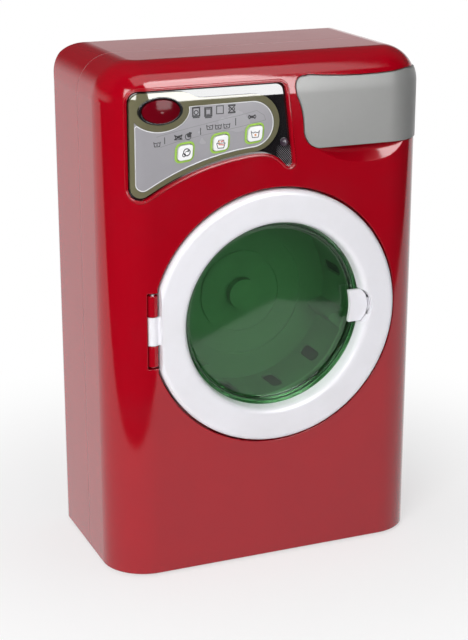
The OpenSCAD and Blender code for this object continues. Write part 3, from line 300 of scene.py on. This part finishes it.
def add_floor():
    """A plain pale floor that keeps the toy's shadow and goes over into the white backdrop."""
    select()
    bpy.ops.mesh.primitive_plane_add(size=FLOOR_SIZE, location=(0, 0, 0))
    floor = bpy.context.object
    floor.name = "floor"
    material, tree, shader = new_material("studio_floor")
    feed(tree, shader.inputs["Base Color"], FLOOR_COLOUR)
    feed(tree, shader.inputs["Roughness"], 0.9)
    feed(tree, shader.inputs["Specular IOR Level"], 0.1)
    place = object_place(tree)
    length = tree.nodes.new("ShaderNodeVectorMath")
    length.operation = "LENGTH"
    feed(tree, length.inputs[0], place)
    veil = ramp(tree, length.outputs["Value"], VEIL_START, VEIL_FULL, VEIL_NEAR_TOY, 1.0)
    white = shader_of(tree, "ShaderNodeEmission", Color=WHITE, Strength=1.0)
    gloss = shader_of(tree, "ShaderNodeEmission", Color=WHITE, Strength=white_sheet(tree, place))
    seen = shader_mix(tree, veil, shader.outputs[0], white)
    shown = by_ray(tree, shader.outputs[0], Glossy=gloss, Transmission=seen, Camera=seen)
    feed(tree, tree.nodes["Material Output"].inputs["Surface"], shown)
    floor.data.materials.append(material)


# Shared effects

NUMBER = "NodeSocketFloat"
COLOUR = "NodeSocketColor"
RIPPLE_SCALE = 38
PATCH_EDGE = (0.42, 0.7)
SCRATCH_EDGE = (0.66, 0.74)
SCRATCH_TURNS = (0.35, 1.4, 2.5)
SCRATCH_STRETCH = (1, 14, 1)


def new_group(name, inputs, outputs):
    tree = bpy.data.node_groups.new(name, "ShaderNodeTree")
    for label, kind, value in inputs:
        socket = tree.interface.new_socket(name=label, in_out="INPUT", socket_type=kind)
        socket.default_value = value
    for label, kind in outputs:
        tree.interface.new_socket(name=label, in_out="OUTPUT", socket_type=kind)
    return tree, tree.nodes.new("NodeGroupInput").outputs, tree.nodes.new("NodeGroupOutput").inputs


def build_moulded_skin():
    """The faint ripple and the fine grain of a moulded surface, as a height."""
    tree, given, out = new_group(
        "moulded_skin",
        [("Grain Scale", NUMBER, 900.0), ("Grain", NUMBER, 0.3), ("Ripple", NUMBER, 0.5)],
        [("Height", NUMBER)])
    place = object_place(tree)
    grain = arithmetic(tree, "MULTIPLY", noise(tree, place, given["Grain Scale"], 2), given["Grain"])
    ripple = arithmetic(tree, "MULTIPLY", noise(tree, place, RIPPLE_SCALE, 1), given["Ripple"])
    feed(tree, out["Height"], arithmetic(tree, "ADD", grain, ripple))
    return tree


def build_handling_wear():
    """Where hands have dulled a surface, and the colour that has changed a little there."""
    tree, given, out = new_group(
        "handling_wear",
        [("Colour", COLOUR, (0.8, 0.8, 0.8, 1)), ("Dulled Colour", COLOUR, (0.7, 0.7, 0.7, 1)),
         ("Smooth", NUMBER, 0.2), ("Dull", NUMBER, 0.35), ("Patch Scale", NUMBER, 26.0)],
        [("Colour", COLOUR), ("Roughness", NUMBER), ("Mask", NUMBER)])
    mask = stretch(tree, noise(tree, object_place(tree), given["Patch Scale"], 4, 0.62), *PATCH_EDGE)
    feed(tree, out["Colour"], colour_mix(tree, mask, given["Colour"], given["Dulled Colour"]))
    feed(tree, out["Roughness"], stretch(tree, mask, 0, 1, given["Smooth"], given["Dull"]))
    feed(tree, out["Mask"], mask)
    return tree


def build_hairlines():
    """Fine scratches that run in all directions, as a mask."""
    tree, given, out = new_group(
        "hairlines", [("Scale", NUMBER, 60.0), ("Amount", NUMBER, 0.5)], [("Mask", NUMBER)])
    place = object_place(tree)
    total = 0.0
    for turn in SCRATCH_TURNS:
        mapping = tree.nodes.new("ShaderNodeMapping")
        mapping.inputs["Rotation"].default_value = (turn * 0.6, turn, turn * 1.3)
        mapping.inputs["Scale"].default_value = SCRATCH_STRETCH
        feed(tree, mapping.inputs["Vector"], place)
        streaks = noise(tree, mapping.outputs["Vector"], given["Scale"], 3, 0.7)
        total = arithmetic(tree, "MAXIMUM", stretch(tree, streaks, *SCRATCH_EDGE), total)
    feed(tree, out["Mask"], arithmetic(tree, "MULTIPLY", total, given["Amount"]))
    return tree


SCREEN_TURN = 40
SCREEN_TOP = HEAD + 95 * MM
SCREEN_TOP_FADE = 4 * MM
SCREEN_LEFT = 1.5 * MM
SCREEN_LEFT_FADE = 2.5 * MM
DOT_EDGE = (0.5, 1.1)
DOT_COLOUR = (0.30, 0.29, 0.31)


def build_dot_screen():
    """A slanting screen of fine dots in the lower right tip of the panel, as a mask."""
    tree, given, out = new_group("dot_screen", [("Pitch", NUMBER, 0.9 * MM)], [("Mask", NUMBER)])
    place = object_place(tree)
    turned = tree.nodes.new("ShaderNodeMapping")
    turned.inputs["Rotation"].default_value = (0, math.radians(SCREEN_TURN), 0)
    feed(tree, turned.inputs["Vector"], place)
    waves = []
    for axis in ("X", "Z"):
        rows = arithmetic(tree, "DIVIDE", split_axis(tree, turned.outputs["Vector"], axis), given["Pitch"])
        waves.append(arithmetic(tree, "SINE", arithmetic(tree, "MULTIPLY", rows, 2 * math.pi)))
    dots = stretch(tree, arithmetic(tree, "ADD", *waves), *DOT_EDGE)
    low = stretch(tree, split_axis(tree, place, "Z"), SCREEN_TOP, SCREEN_TOP - SCREEN_TOP_FADE)
    right = stretch(tree, split_axis(tree, place, "X"), SCREEN_LEFT, SCREEN_LEFT + SCREEN_LEFT_FADE)
    area = arithmetic(tree, "MULTIPLY", low, right)
    feed(tree, out["Mask"], arithmetic(tree, "MULTIPLY", dots, area))
    return tree


moulded_skin = build_moulded_skin()
handling_wear = build_handling_wear()
hairlines = build_hairlines()
dot_screen = build_dot_screen()


# Finishes

finishes = {}


def place_group(tree, group, **values):
    node = tree.nodes.new("ShaderNodeGroup")
    node.node_tree = group
    for label, value in values.items():
        feed(tree, node.inputs[label.replace("_", " ")], value)
    return node.outputs


def bump(tree, shader, height, strength, distance=0.2 * MM, under=None):
    """Lays a height over the surface, on top of a direction that is already bent where one is given."""
    node = tree.nodes.new("ShaderNodeBump")
    feed(tree, node.inputs["Strength"], strength)
    feed(tree, node.inputs["Distance"], distance)
    feed(tree, node.inputs["Height"], height)
    if under is not None:
        feed(tree, node.inputs["Normal"], under)
    feed(tree, shader.inputs["Normal"], node.outputs["Normal"])


def worn(tree, shader, **values):
    wear = place_group(tree, handling_wear, **values)
    feed(tree, shader.inputs["Base Color"], wear["Colour"])
    feed(tree, shader.inputs["Roughness"], wear["Roughness"])


def rounded_edges(tree, radius):
    node = tree.nodes.new("ShaderNodeBevel")
    node.samples = 4
    feed(tree, node.inputs["Radius"], radius)
    return node.outputs["Normal"]


def moulded_plastic(name, colour, dulled, smooth, dull, grain=0.3, specular=0.5, edge=0.0):
    """A moulded plastic with its grain, the ripple of its skin, soft edges and patches dulled by hands."""
    material, tree, shader = new_material(name)
    worn(tree, shader, Colour=colour, Dulled_Colour=dulled, Smooth=smooth, Dull=dull)
    feed(tree, shader.inputs["Specular IOR Level"], specular)
    skin = place_group(tree, moulded_skin, Grain=grain)
    rounding = rounded_edges(tree, edge) if edge else None
    bump(tree, shader, skin["Height"], strength=0.12, under=rounding)
    finishes[name] = material
    return material


def screened_plastic(name, *surface, **more):
    """A moulded plastic with pale dots printed on it."""
    tree = moulded_plastic(name, *surface, **more).node_tree
    base = tree.nodes["Principled BSDF"].inputs["Base Color"]
    plain = base.links[0].from_socket
    dots = place_group(tree, dot_screen)
    feed(tree, base, colour_mix(tree, dots["Mask"], plain, DOT_COLOUR))


def metal(name, colour, dulled, smooth, dull):
    """Bare metal with small dulled patches and fine scratches."""
    material, tree, shader = new_material(name)
    worn(tree, shader, Colour=colour, Dulled_Colour=dulled, Smooth=smooth, Dull=dull, Patch_Scale=180.0)
    feed(tree, shader.inputs["Metallic"], 1.0)
    scratch = place_group(tree, hairlines, Scale=400.0, Amount=0.6)
    bump(tree, shader, scratch["Mask"], strength=0.2, distance=0.1 * MM)
    finishes[name] = material


def clear_plastic(name, colour, thin, smooth, scratched):
    """See-through plastic. Light for what lies behind passes it with the tint that one of its walls gives."""
    material, tree, shader = new_material(name)
    feed(tree, shader.inputs["Base Color"], colour)
    feed(tree, shader.inputs["Transmission Weight"], 1.0)
    feed(tree, shader.inputs["IOR"], 1.49)
    scratch = place_group(tree, hairlines, Scale=30.0, Amount=1.0)
    feed(tree, shader.inputs["Roughness"], stretch(tree, scratch["Mask"], 0, 1, smooth, scratched))
    skin = place_group(tree, moulded_skin, Grain=0.0, Ripple=1.0)
    bump(tree, shader, skin["Height"], strength=0.15)
    passing = shader_of(tree, "ShaderNodeBsdfTransparent", Color=thin)
    shown = by_ray(tree, shader.outputs[0], Shadow=passing)
    feed(tree, tree.nodes["Material Output"].inputs["Surface"], shown)
    finishes[name] = material


def make_finishes():
    """Each has a name, a colour, the colour where hands have dulled it, and the roughness of both."""
    moulded_plastic("red_gloss", (0.36, 0.0005, 0.008), (0.34, 0.001, 0.009), 0.07, 0.15, edge=0.8 * MM)
    moulded_plastic("white_gloss", (0.82, 0.81, 0.85), (0.78, 0.77, 0.80), 0.28, 0.4, edge=0.5 * MM)
    screened_plastic("black_gloss", (0.008, 0.007, 0.008), (0.012, 0.011, 0.012), 0.05, 0.10, specular=1.0,
                     edge=0.4 * MM)
    moulded_plastic("olive_satin", (0.15, 0.14, 0.08), (0.14, 0.13, 0.075), 0.06, 0.12, specular=1.0)
    moulded_plastic("silver_satin", (0.32, 0.31, 0.33), (0.29, 0.28, 0.30), 0.2, 0.32)
    moulded_plastic("green_border", (0.25, 0.46, 0.03), (0.23, 0.42, 0.03), 0.35, 0.5)
    moulded_plastic("red_lens", (0.13, 0.001, 0.006), (0.11, 0.001, 0.006), 0.1, 0.16, specular=0.14,
                    edge=0.6 * MM)
    moulded_plastic("lamp_clear", (0.045, 0.03, 0.045), (0.055, 0.04, 0.055), 0.06, 0.12)
    moulded_plastic("key_white", (0.84, 0.84, 0.84), (0.80, 0.80, 0.79), 0.3, 0.42, edge=0.4 * MM)
    moulded_plastic("grey_satin", (0.265, 0.265, 0.258), (0.25, 0.25, 0.243), 0.34, 0.46, edge=0.8 * MM)
    moulded_plastic("pale_plastic", (0.68, 0.68, 0.65), (0.64, 0.63, 0.60), 0.45, 0.6)
    moulded_plastic("drum_grey", (0.28, 0.28, 0.27), (0.26, 0.26, 0.25), 0.5, 0.65)
    moulded_plastic("dark_plastic", (0.03, 0.03, 0.032), (0.04, 0.04, 0.04), 0.45, 0.6, grain=0.8)
    moulded_plastic("gear_white", (0.72, 0.70, 0.62), (0.68, 0.66, 0.58), 0.4, 0.55)
    moulded_plastic("rubber", (0.015, 0.015, 0.015), (0.03, 0.03, 0.03), 0.7, 0.85, grain=1.0)
    moulded_plastic("board", (0.01, 0.09, 0.03), (0.012, 0.075, 0.03), 0.3, 0.45)
    moulded_plastic("cell_wrap", (0.05, 0.055, 0.07), (0.06, 0.06, 0.07), 0.25, 0.4)
    clear_plastic("green_clear", (0.25, 0.5, 0.28), (0.2, 0.4, 0.22), 0.04, 0.16)
    moulded_plastic("panel_ink", (0.012, 0.011, 0.015), (0.018, 0.016, 0.02), 0.4, 0.5)
    moulded_plastic("pale_ink", (0.16, 0.155, 0.17), (0.18, 0.175, 0.19), 0.4, 0.5)
    moulded_plastic("pink_ink", (0.62, 0.16, 0.14), (0.58, 0.17, 0.15), 0.4, 0.5)
    moulded_plastic("orange_ink", (0.70, 0.26, 0.05), (0.66, 0.27, 0.07), 0.4, 0.5)
    # The fascia rim's pale colour is a painted highlight along its raised edge, not the rim's own colour.
    moulded_plastic("painted_highlight_rim", (0.74, 0.74, 0.76), (0.70, 0.70, 0.72), 0.15, 0.25)
    metal("brass", (0.72, 0.48, 0.2), (0.6, 0.4, 0.18), 0.3, 0.5)
    metal("steel", (0.6, 0.6, 0.62), (0.5, 0.5, 0.5), 0.28, 0.48)


def paint(piece, finish):
    piece.data.materials.clear()
    piece.data.materials.append(finishes[finish])


def paint_nodes():
    for part in frame["record"]["subparts"]:
        paint(nodes[part["node"]], part["material_slot"])


# Outlines on the panel, in mm from the middle of the cabinet and from the head level

ARC_MIDDLE = (-2.7, -44.6)
ARC_END = -13
PANEL_ARC = 136.2
PANEL_LEFT = -82.0
PANEL_TOP = 128.7
PANEL_ROUND = 6
TIP = (9, 84.9)
TIP_RADIUS = 2.1
TOP_RIGHT = (2.4, PANEL_TOP - 4)
TOP_RIGHT_RADIUS = 4
FASCIA_GAP = 3.5
FASCIA_END = (-12.9, 107.3)
START_MIDDLE = (PANEL_LEFT + 17.3, 118.1)
START_HALF = (10.4, 6.1)
START_RIM = (2.0, 1.2)
NOTCH_RIM = 3.6
NOTCH_STEPS = 30


def bend(start, first, second, end, steps):
    """Points on a curve between two ends that leans towards two others."""
    points = []
    for i in range(steps + 1):
        t = i / steps
        weights = ((1 - t) ** 3, 3 * t * (1 - t) ** 2, 3 * t * t * (1 - t), t ** 3)
        x, z = (sum(w * q[k] for w, q in zip(weights, (start, first, second, end))) for k in (0, 1))
        points.append((x, z))
    return points


def oval(middle, half, start, end, steps):
    turns = [math.radians(start + (end - start) * i / steps) for i in range(steps + 1)]
    return [(middle[0] + half[0] * math.cos(t), middle[1] + half[1] * math.sin(t)) for t in turns]


def arc(middle, radius, start, end, steps):
    return oval(middle, (radius, radius), start, end, steps)


def arc_height(radius, x):
    return ARC_MIDDLE[1] + math.sqrt(radius * radius - (x - ARC_MIDDLE[0]) ** 2)


def low_left(radius, left, corner):
    """The round lower left corner of an outline, and the long arc that follows it."""
    middle = (left + corner, arc_height(radius + corner, left + corner))
    lean = math.degrees(math.atan2(middle[1] - ARC_MIDDLE[1], middle[0] - ARC_MIDDLE[0]))
    end = math.degrees(math.acos((ARC_END - ARC_MIDDLE[0]) / radius))
    return arc(middle, corner, 180, lean + 180, 10) + arc(ARC_MIDDLE, radius, lean, end, 26)


def panel_outline():
    """The opening for the panel. Its straight edges have points between, so that a bead follows the skin."""
    tip_start = (TIP[0] - 2.2, TIP[1] - 1.2)
    return (low_left(PANEL_ARC, PANEL_LEFT, PANEL_ROUND)
            + bend((ARC_END, arc_height(PANEL_ARC, ARC_END)), (-5, 91.8), (0.5, 91), tip_start, 10)
            + arc(TIP, TIP_RADIUS, -110, 5, 8) + arc(TOP_RIGHT, TOP_RIGHT_RADIUS, 5, 90, 8)
            + [(x, PANEL_TOP) for x in range(-10, -80, -10)]
            + arc((PANEL_LEFT + PANEL_ROUND, PANEL_TOP - PANEL_ROUND), PANEL_ROUND, 90, 180, 8)
            + [(PANEL_LEFT, z) for z in range(117, 86, -6)])


def fascia_outline():
    """The silver fascia, with a notch round the start button."""
    radius = PANEL_ARC + FASCIA_GAP
    left = PANEL_LEFT + FASCIA_GAP
    end_radius = FASCIA_END[1] - arc_height(radius, FASCIA_END[0])
    top = FASCIA_END[1] + end_radius
    half = [size + rim + NOTCH_RIM for size, rim in zip(START_HALF, START_RIM)]
    return (low_left(radius, left, PANEL_ROUND - 2) + arc(FASCIA_END, end_radius, -86, 90, 20)
            + [(x, top) for x in (-18, -26, -36, -44)]
            + oval(START_MIDDLE, half, 7, -150, NOTCH_STEPS)
            + [(left, START_MIDDLE[1] - half[1] * 0.75)])


def tidy_loop(points, shortest=0.25):
    """The same closed line, anticlockwise and without points that lie on top of each other."""
    kept = []
    for q in points:
        if not kept or math.dist(q, kept[-1]) > shortest:
            kept.append(q)
    if math.dist(kept[0], kept[-1]) < shortest:
        kept.pop()
    area = 0.5 * sum(kept[i - 1][0] * q[1] - q[0] * kept[i - 1][1] for i, q in enumerate(kept))
    return kept if area > 0 else kept[::-1]


def grown(points, by):
    """A closed anticlockwise line moved outwards."""
    out = []
    for i, q in enumerate(points):
        before, after = points[i - 1], points[(i + 1) % len(points)]
        along = Vector((after[0] - before[0], after[1] - before[1])).normalized()
        out.append((q[0] + along.y * by, q[1] - along.x * by))
    return out


# The lip round the panel opening and the bright rim of the fascia

IN_FRONT = -200 * MM
LIP_OUTSIDE = 1.0
LIP_SUNK = 0.15 * MM
LIP_RADIUS = 0.75 * MM
RIM_INSIDE = 0.4
RIM_SUNK = 0.1 * MM
RIM_RADIUS = 0.3 * MM
NOTCH_LEAVES = (PANEL_LEFT + 4.5, 111.5)


def skin_at(node, x, z):
    """The front of a node at a place on the panel, and which way it faces, found by looking straight back."""
    start = Vector((x * MM, IN_FRONT, HEAD + z * MM))
    hit, point, normal, _ = nodes[node].ray_cast(start, Vector((0, 1, 0)))
    if not hit:
        raise RuntimeError(f"{node} has no face at {x:.1f}, {z:.1f}")
    return point, normal


def finish_piece(piece, finish, body):
    """Gives a piece its finish and the body that it moves with."""
    paint(piece, finish)
    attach(piece, body)


def bead(name, node, outline, sink, radius, sides):
    """A round bead along an outline, sunk a little into the front of a node, made a mesh."""
    line = bpy.data.curves.new(name, "CURVE")
    line.dimensions = "3D"
    spline = line.splines.new("POLY")
    spline.points.add(len(outline) - 1)
    for point, (x, z) in zip(spline.points, outline):
        skin, normal = skin_at(node, x, z)
        point.co = (*(skin - normal * sink), 1)
    spline.use_cyclic_u = True
    line.bevel_depth = radius
    line.bevel_resolution = sides
    select(new_object(name, line))
    bpy.ops.object.convert(target="MESH")
    bpy.ops.object.shade_smooth()
    return bpy.context.object


def add_panel_lip():
    """The rounded red lip that frames the panel opening."""
    outline = grown(tidy_loop(panel_outline()), LIP_OUTSIDE)
    lip = bead("panel_lip", "front_shell", outline, LIP_SUNK, LIP_RADIUS, sides=4)
    finish_piece(lip, "red_gloss", "cabinet")


def add_fascia_rim():
    """The raised line round the silver fascia. It is coloured far paler than the fascia as a painted
    highlight along its edge. The notch leaves the fascia at its left end.
    """
    outline = grown(tidy_loop(fascia_outline()), -RIM_INSIDE)
    kept = [(x, z) for x, z in outline if x > NOTCH_LEAVES[0] or z < NOTCH_LEAVES[1]]
    rim = bead("fascia_rim", "panel_fascia", kept, RIM_SUNK, RIM_RADIUS, sides=3)
    finish_piece(rim, "painted_highlight_rim", "cabinet")


# The window: a flat see-through disc in a stepped rim

WINDOW_SIDES = 160
WINDOW_SHOWN = 51.9 * MM
WINDOW_WALL = 1.7 * MM
RIM_STEPS = ((0.35, 0.12), (0.25, 0.45), (0.2, 0.9), (1.3, 0.02), (0.35, 0.12), (0.25, 0.45), (0.25, 0.8),
             (0.5, 0.22), (0.3, 0.0))
DISC_STEPS = ((3.8, -0.06), (12.0, -0.27), (15.0, -0.2), (12.0, -0.05))


def ring_step(inward, back):
    """Insets the round face and moves it back, as one step."""
    bpy.ops.mesh.inset(thickness=inward, depth=0)
    bpy.ops.transform.translate(value=(0, back, 0))


def add_window():
    """A disc that steps back in from its edge, and bulges a little in the middle."""
    low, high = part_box("door_window")
    middle = (low + high) / 2
    radius = (high.x - low.x) / 2
    select()
    bpy.ops.mesh.primitive_circle_add(vertices=WINDOW_SIDES, radius=radius, fill_type="NGON",
                                      location=(middle.x, low.y, middle.z), rotation=(math.radians(90), 0, 0))
    apply_transform()
    window = bpy.context.object
    window.name = "see_through_window"
    start_edit()
    ring_step(radius - WINDOW_SHOWN, 0)
    for inward, back in RIM_STEPS + DISC_STEPS:
        ring_step(inward * MM, back * MM)
    bpy.ops.mesh.poke()
    end_edit()
    wall = window.modifiers.new("wall", "SOLIDIFY")
    wall.thickness = WINDOW_WALL
    wall.offset = -1
    bpy.ops.object.modifier_apply(modifier=wall.name)
    smooth_below(35)
    finish_piece(window, "green_clear", "door")
    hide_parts("door_window")


# Soft parts under the keys, which on the toy give way when a key is pressed

SAME_PLACE = 0.002 * MM


def add_soft_part(node, finish):
    """A copy of a soft part, with doubled points merged and smooth shading, shown in place of the node."""
    piece = new_object(node.replace("_", "_soft_"), nodes[node].data.copy())
    select(piece)
    start_edit()
    bpy.ops.mesh.remove_doubles(threshold=SAME_PLACE)
    end_edit()
    smooth_below(40)
    finish_piece(piece, finish, "cabinet")
    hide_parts(node)
    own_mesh(piece)


def add_soft_parts():
    for key in ("spin", "wash", "rinse"):
        add_soft_part(f"{key}_dome", "rubber")
    add_soft_part("start_spring", "steel")


# Printing. Marks are in mm, like the outlines on the panel: a kind, then its places and sizes

INK = 0.05 * MM
SUNK = 0.01 * MM
DOT_SIDES = 24


def flat_face(x, z, width, height, turn=0.0):
    select()
    bpy.ops.mesh.primitive_plane_add(size=1, location=(x * MM, 0, HEAD + z * MM),
                                     rotation=(math.radians(90), math.radians(turn), 0))
    bpy.context.object.scale = (width * MM, height * MM, 1)
    apply_transform()


def flat_round(x, z, radius):
    select()
    bpy.ops.mesh.primitive_circle_add(vertices=DOT_SIDES, radius=radius * MM, fill_type="NGON",
                                      location=(x * MM, 0, HEAD + z * MM), rotation=(math.radians(90), 0, 0))
    apply_transform()


def open_middle(line):
    """Leaves only a border of a flat face."""
    start_edit()
    bpy.ops.mesh.inset(thickness=line * MM, depth=0)
    bpy.ops.mesh.delete(type="FACE")
    end_edit()


def thicken():
    """Pulls a flat print up from its sheet and leaves the object closed."""
    start_edit()
    bpy.ops.mesh.extrude_region_move(TRANSFORM_OT_translate={"value": (0, -INK, 0)})
    bpy.ops.mesh.select_all(action="SELECT")
    bpy.ops.mesh.normals_make_consistent(inside=False)
    end_edit()
    return bpy.context.object


def print_bar(x0, z0, x1, z1, width):
    """A straight line that reaches a quarter of its width past both ends."""
    turn = -math.degrees(math.atan2(z1 - z0, x1 - x0))
    flat_face((x0 + x1) / 2, (z0 + z1) / 2, math.hypot(x1 - x0, z1 - z0) + width * 0.5, width, turn)
    return thicken()


def print_frame(x, z, width, height, line):
    flat_face(x, z, width, height)
    open_middle(line)
    return thicken()


def print_patch(x, z, width, height, turn):
    flat_face(x, z, width, height, turn)
    return thicken()


def print_ring(x, z, radius, line):
    flat_round(x, z, radius)
    open_middle(line)
    return thicken()


def print_dot(x, z, radius):
    flat_round(x, z, radius)
    return thicken()


PRINTS = {"bar": print_bar, "frame": print_frame, "patch": print_patch, "ring": print_ring, "dot": print_dot}


def stamp(name, marks, ink, body, front):
    """Prints marks on a flat front and joins them in one piece."""
    made = [PRINTS[kind](*sizes) for kind, *sizes in marks]
    select(*made)
    if len(made) > 1:
        bpy.ops.object.join()
    piece = bpy.context.object
    piece.name = name
    piece.location = (0, front, 0)
    apply_transform()
    finish_piece(piece, ink, body)


def moved(marks, x, z):
    """The same marks at another place. A bar has two ends to move, every other mark has one middle."""
    out = []
    for kind, *sizes in marks:
        shift = (x, z, x, z) if kind == "bar" else (x, z)
        placed = [size + by for size, by in zip(sizes, shift)]
        out.append((kind, *placed, *sizes[len(shift):]))
    return out


def line_marks(points, width):
    return [("bar", *a, *b, width) for a, b in zip(points, points[1:])]


FOOT = [("bar", -1.7, -3.0, 1.7, -3.0, 0.7)]
WASHER = [("frame", 0, 0, 4.6, 5.2, 0.8), ("ring", 0, -0.4, 1.35, 0.55),
          ("bar", -1.9, 2.0, 1.9, 2.0, 0.5)] + FOOT
DRYER = [("frame", 0, 0, 4.6, 5.2, 0.95), ("frame", 0, 0, 3.0, 3.0, 0.35)] + FOOT
PLAIN = [("frame", 0, 0, 4.3, 4.6, 0.5)]
TWIST = [("bar", -1.9, 1.9, 1.9, 1.9, 0.95), ("bar", -1.9, -1.9, 1.9, -1.9, 0.95),
         ("bar", -1.6, 1.5, 1.6, -1.5, 0.75), ("bar", -1.6, -1.5, 1.6, 1.5, 0.6),
         ("bar", -1.5, 0.5, -1.5, -0.5, 0.6), ("bar", 1.5, 0.5, 1.5, -0.5, 0.6)]
TUB = (line_marks([(-1.8, 1.3), (-1.4, -1.1), (1.4, -1.1), (1.8, 1.3)], 0.42)
       + line_marks([(-1.8, 0.9), (-0.6, 0.6), (0.6, 0.9), (1.8, 0.7)], 0.4) + [("dot", 0, -0.2, 0.4)])
CROSSED_TUB = TUB + [("bar", -2.1, -1.0, 2.1, 1.2, 0.65), ("bar", -2.1, 1.2, 2.1, -1.0, 0.65)]
SPLASH = [("ring", 0, -0.2, 1.8, 0.42), ("dot", 0.5, 0.5, 1.2), ("dot", 1.5, 1.5, 0.6),
          ("dot", 0.8, 1.8, 0.4)]
BOW = [("bar", -1.8, 1.0, 1.8, -1.0, 0.5), ("bar", -1.8, -1.0, 1.8, 1.0, 0.5), ("dot", 0, 0, 0.7),
       ("ring", -1.6, 0, 0.8, 0.4), ("ring", 1.6, 0, 0.8, 0.4)]

STRIP_TOP = [(-66.9, 104.6), (-48.9, 108.0), (-25.6, 111.9), (-20.1, 112.6), (-10.3, 114.5), (-6.0, 111.7),
             (-5.2, 109.1)]
STRIP_LOW = [(-64.8, 99.0), (-55.7, 101.2), (-42.8, 103.4), (-20.1, 106.5), (-15.7, 107.2), (-5.2, 109.1)]
STRIP_LINE = 0.22

PROGRAMMES = ((WASHER, -44.7, 116.3), (DRYER, -37.9, 115.8), (PLAIN, -31.3, 116.4), (TWIST, -24.6, 116.4))
DIVIDERS = [("bar", -62.4, 100.7, -62.4, 104.0, 0.45), ("bar", -42.3, 104.0, -42.3, 107.5, 0.45),
            ("bar", -22.4, 107.5, -22.4, 111.2, 0.45)]
STRIP_SIGNS = ((TUB, -66.6, 100.6), (CROSSED_TUB, -54.8, 103.4), (SPLASH, -49.3, 103.7), (TUB, -37.1, 107.5),
               (TUB, -32.3, 107.4), (TUB, -27.5, 107.5), (BOW, -13.0, 111.3))


def all_moved(signs):
    return [mark for sign, x, z in signs for mark in moved(sign, x, z)]


def add_panel_printing():
    front = skin_at("panel_fascia", -30, 106)[0].y + SUNK
    stamp("programme_icons", all_moved(PROGRAMMES), "panel_ink", "cabinet", front)
    strip = line_marks(STRIP_TOP, STRIP_LINE) + line_marks(STRIP_LOW, STRIP_LINE)
    stamp("programme_strip", strip, "pale_ink", "cabinet", front)
    stamp("programme_marks", DIVIDERS + all_moved(STRIP_SIGNS), "panel_ink", "cabinet", front)


SPIN_SIGN = [("ring", 0.5, 0.3, 2.1, 0.55), ("ring", -1.1, -1.1, 1.1, 0.48), ("dot", 1.2, 0.9, 0.5),
             ("bar", -0.4, 0.4, 1.7, 1.4, 0.36)]
WASH_SIGN = (line_marks([(-2.4, 0.3), (-1.6, -2.3), (1.6, -2.3), (2.4, 0.3)], 0.42)
             + [("bar", -2.4, 0.3, 2.4, 0.3, 0.36)]
             + line_marks([(-1.8, 0.5), (-1.2, 2.0), (1.6, 1.9), (1.8, 0.5)], 0.36))
WASH_PINK = [("patch", 0.2, -0.5, 3.2, 0.7, 8), ("patch", 0.7, 1.25, 1.5, 0.8, -12)]
WASH_ORANGE = [("patch", -0.9, 1.1, 0.9, 0.7, 20)]
RINSE_SIGN = (line_marks([(-2.4, 1.7), (-1.7, -1.9), (1.7, -1.9), (2.4, 1.7)], 0.4)
              + line_marks([(-2.2, 1.0), (-1.2, 0.5), (0.0, 1.0), (1.2, 0.5), (2.2, 1.0)], 0.4))
RINSE_ORANGE = [("dot", 0.1, -0.6, 0.6)]

KEY_PLACES = {"spin": (-51.2, 95.3), "wash": (-31.5, 98.6), "rinse": (-11.8, 102.4)}


def add_key_printing():
    for key, ink, marks in (("spin", "panel_ink", SPIN_SIGN), ("wash", "panel_ink", WASH_SIGN),
                            ("wash", "pink_ink", WASH_PINK), ("wash", "orange_ink", WASH_ORANGE),
                            ("rinse", "panel_ink", RINSE_SIGN), ("rinse", "orange_ink", RINSE_ORANGE)):
        front = skin_at(f"{key}_key", *KEY_PLACES[key])[0].y + SUNK
        stamp(f"{key}_key_{ink}_print", moved(marks, *KEY_PLACES[key]), ink, key, front)


add_camera()
add_studio()
add_surroundings()
add_floor()
make_finishes()
paint_nodes()
add_panel_lip()
add_fascia_rim()
add_window()
add_soft_parts()
add_panel_printing()
add_key_printing()
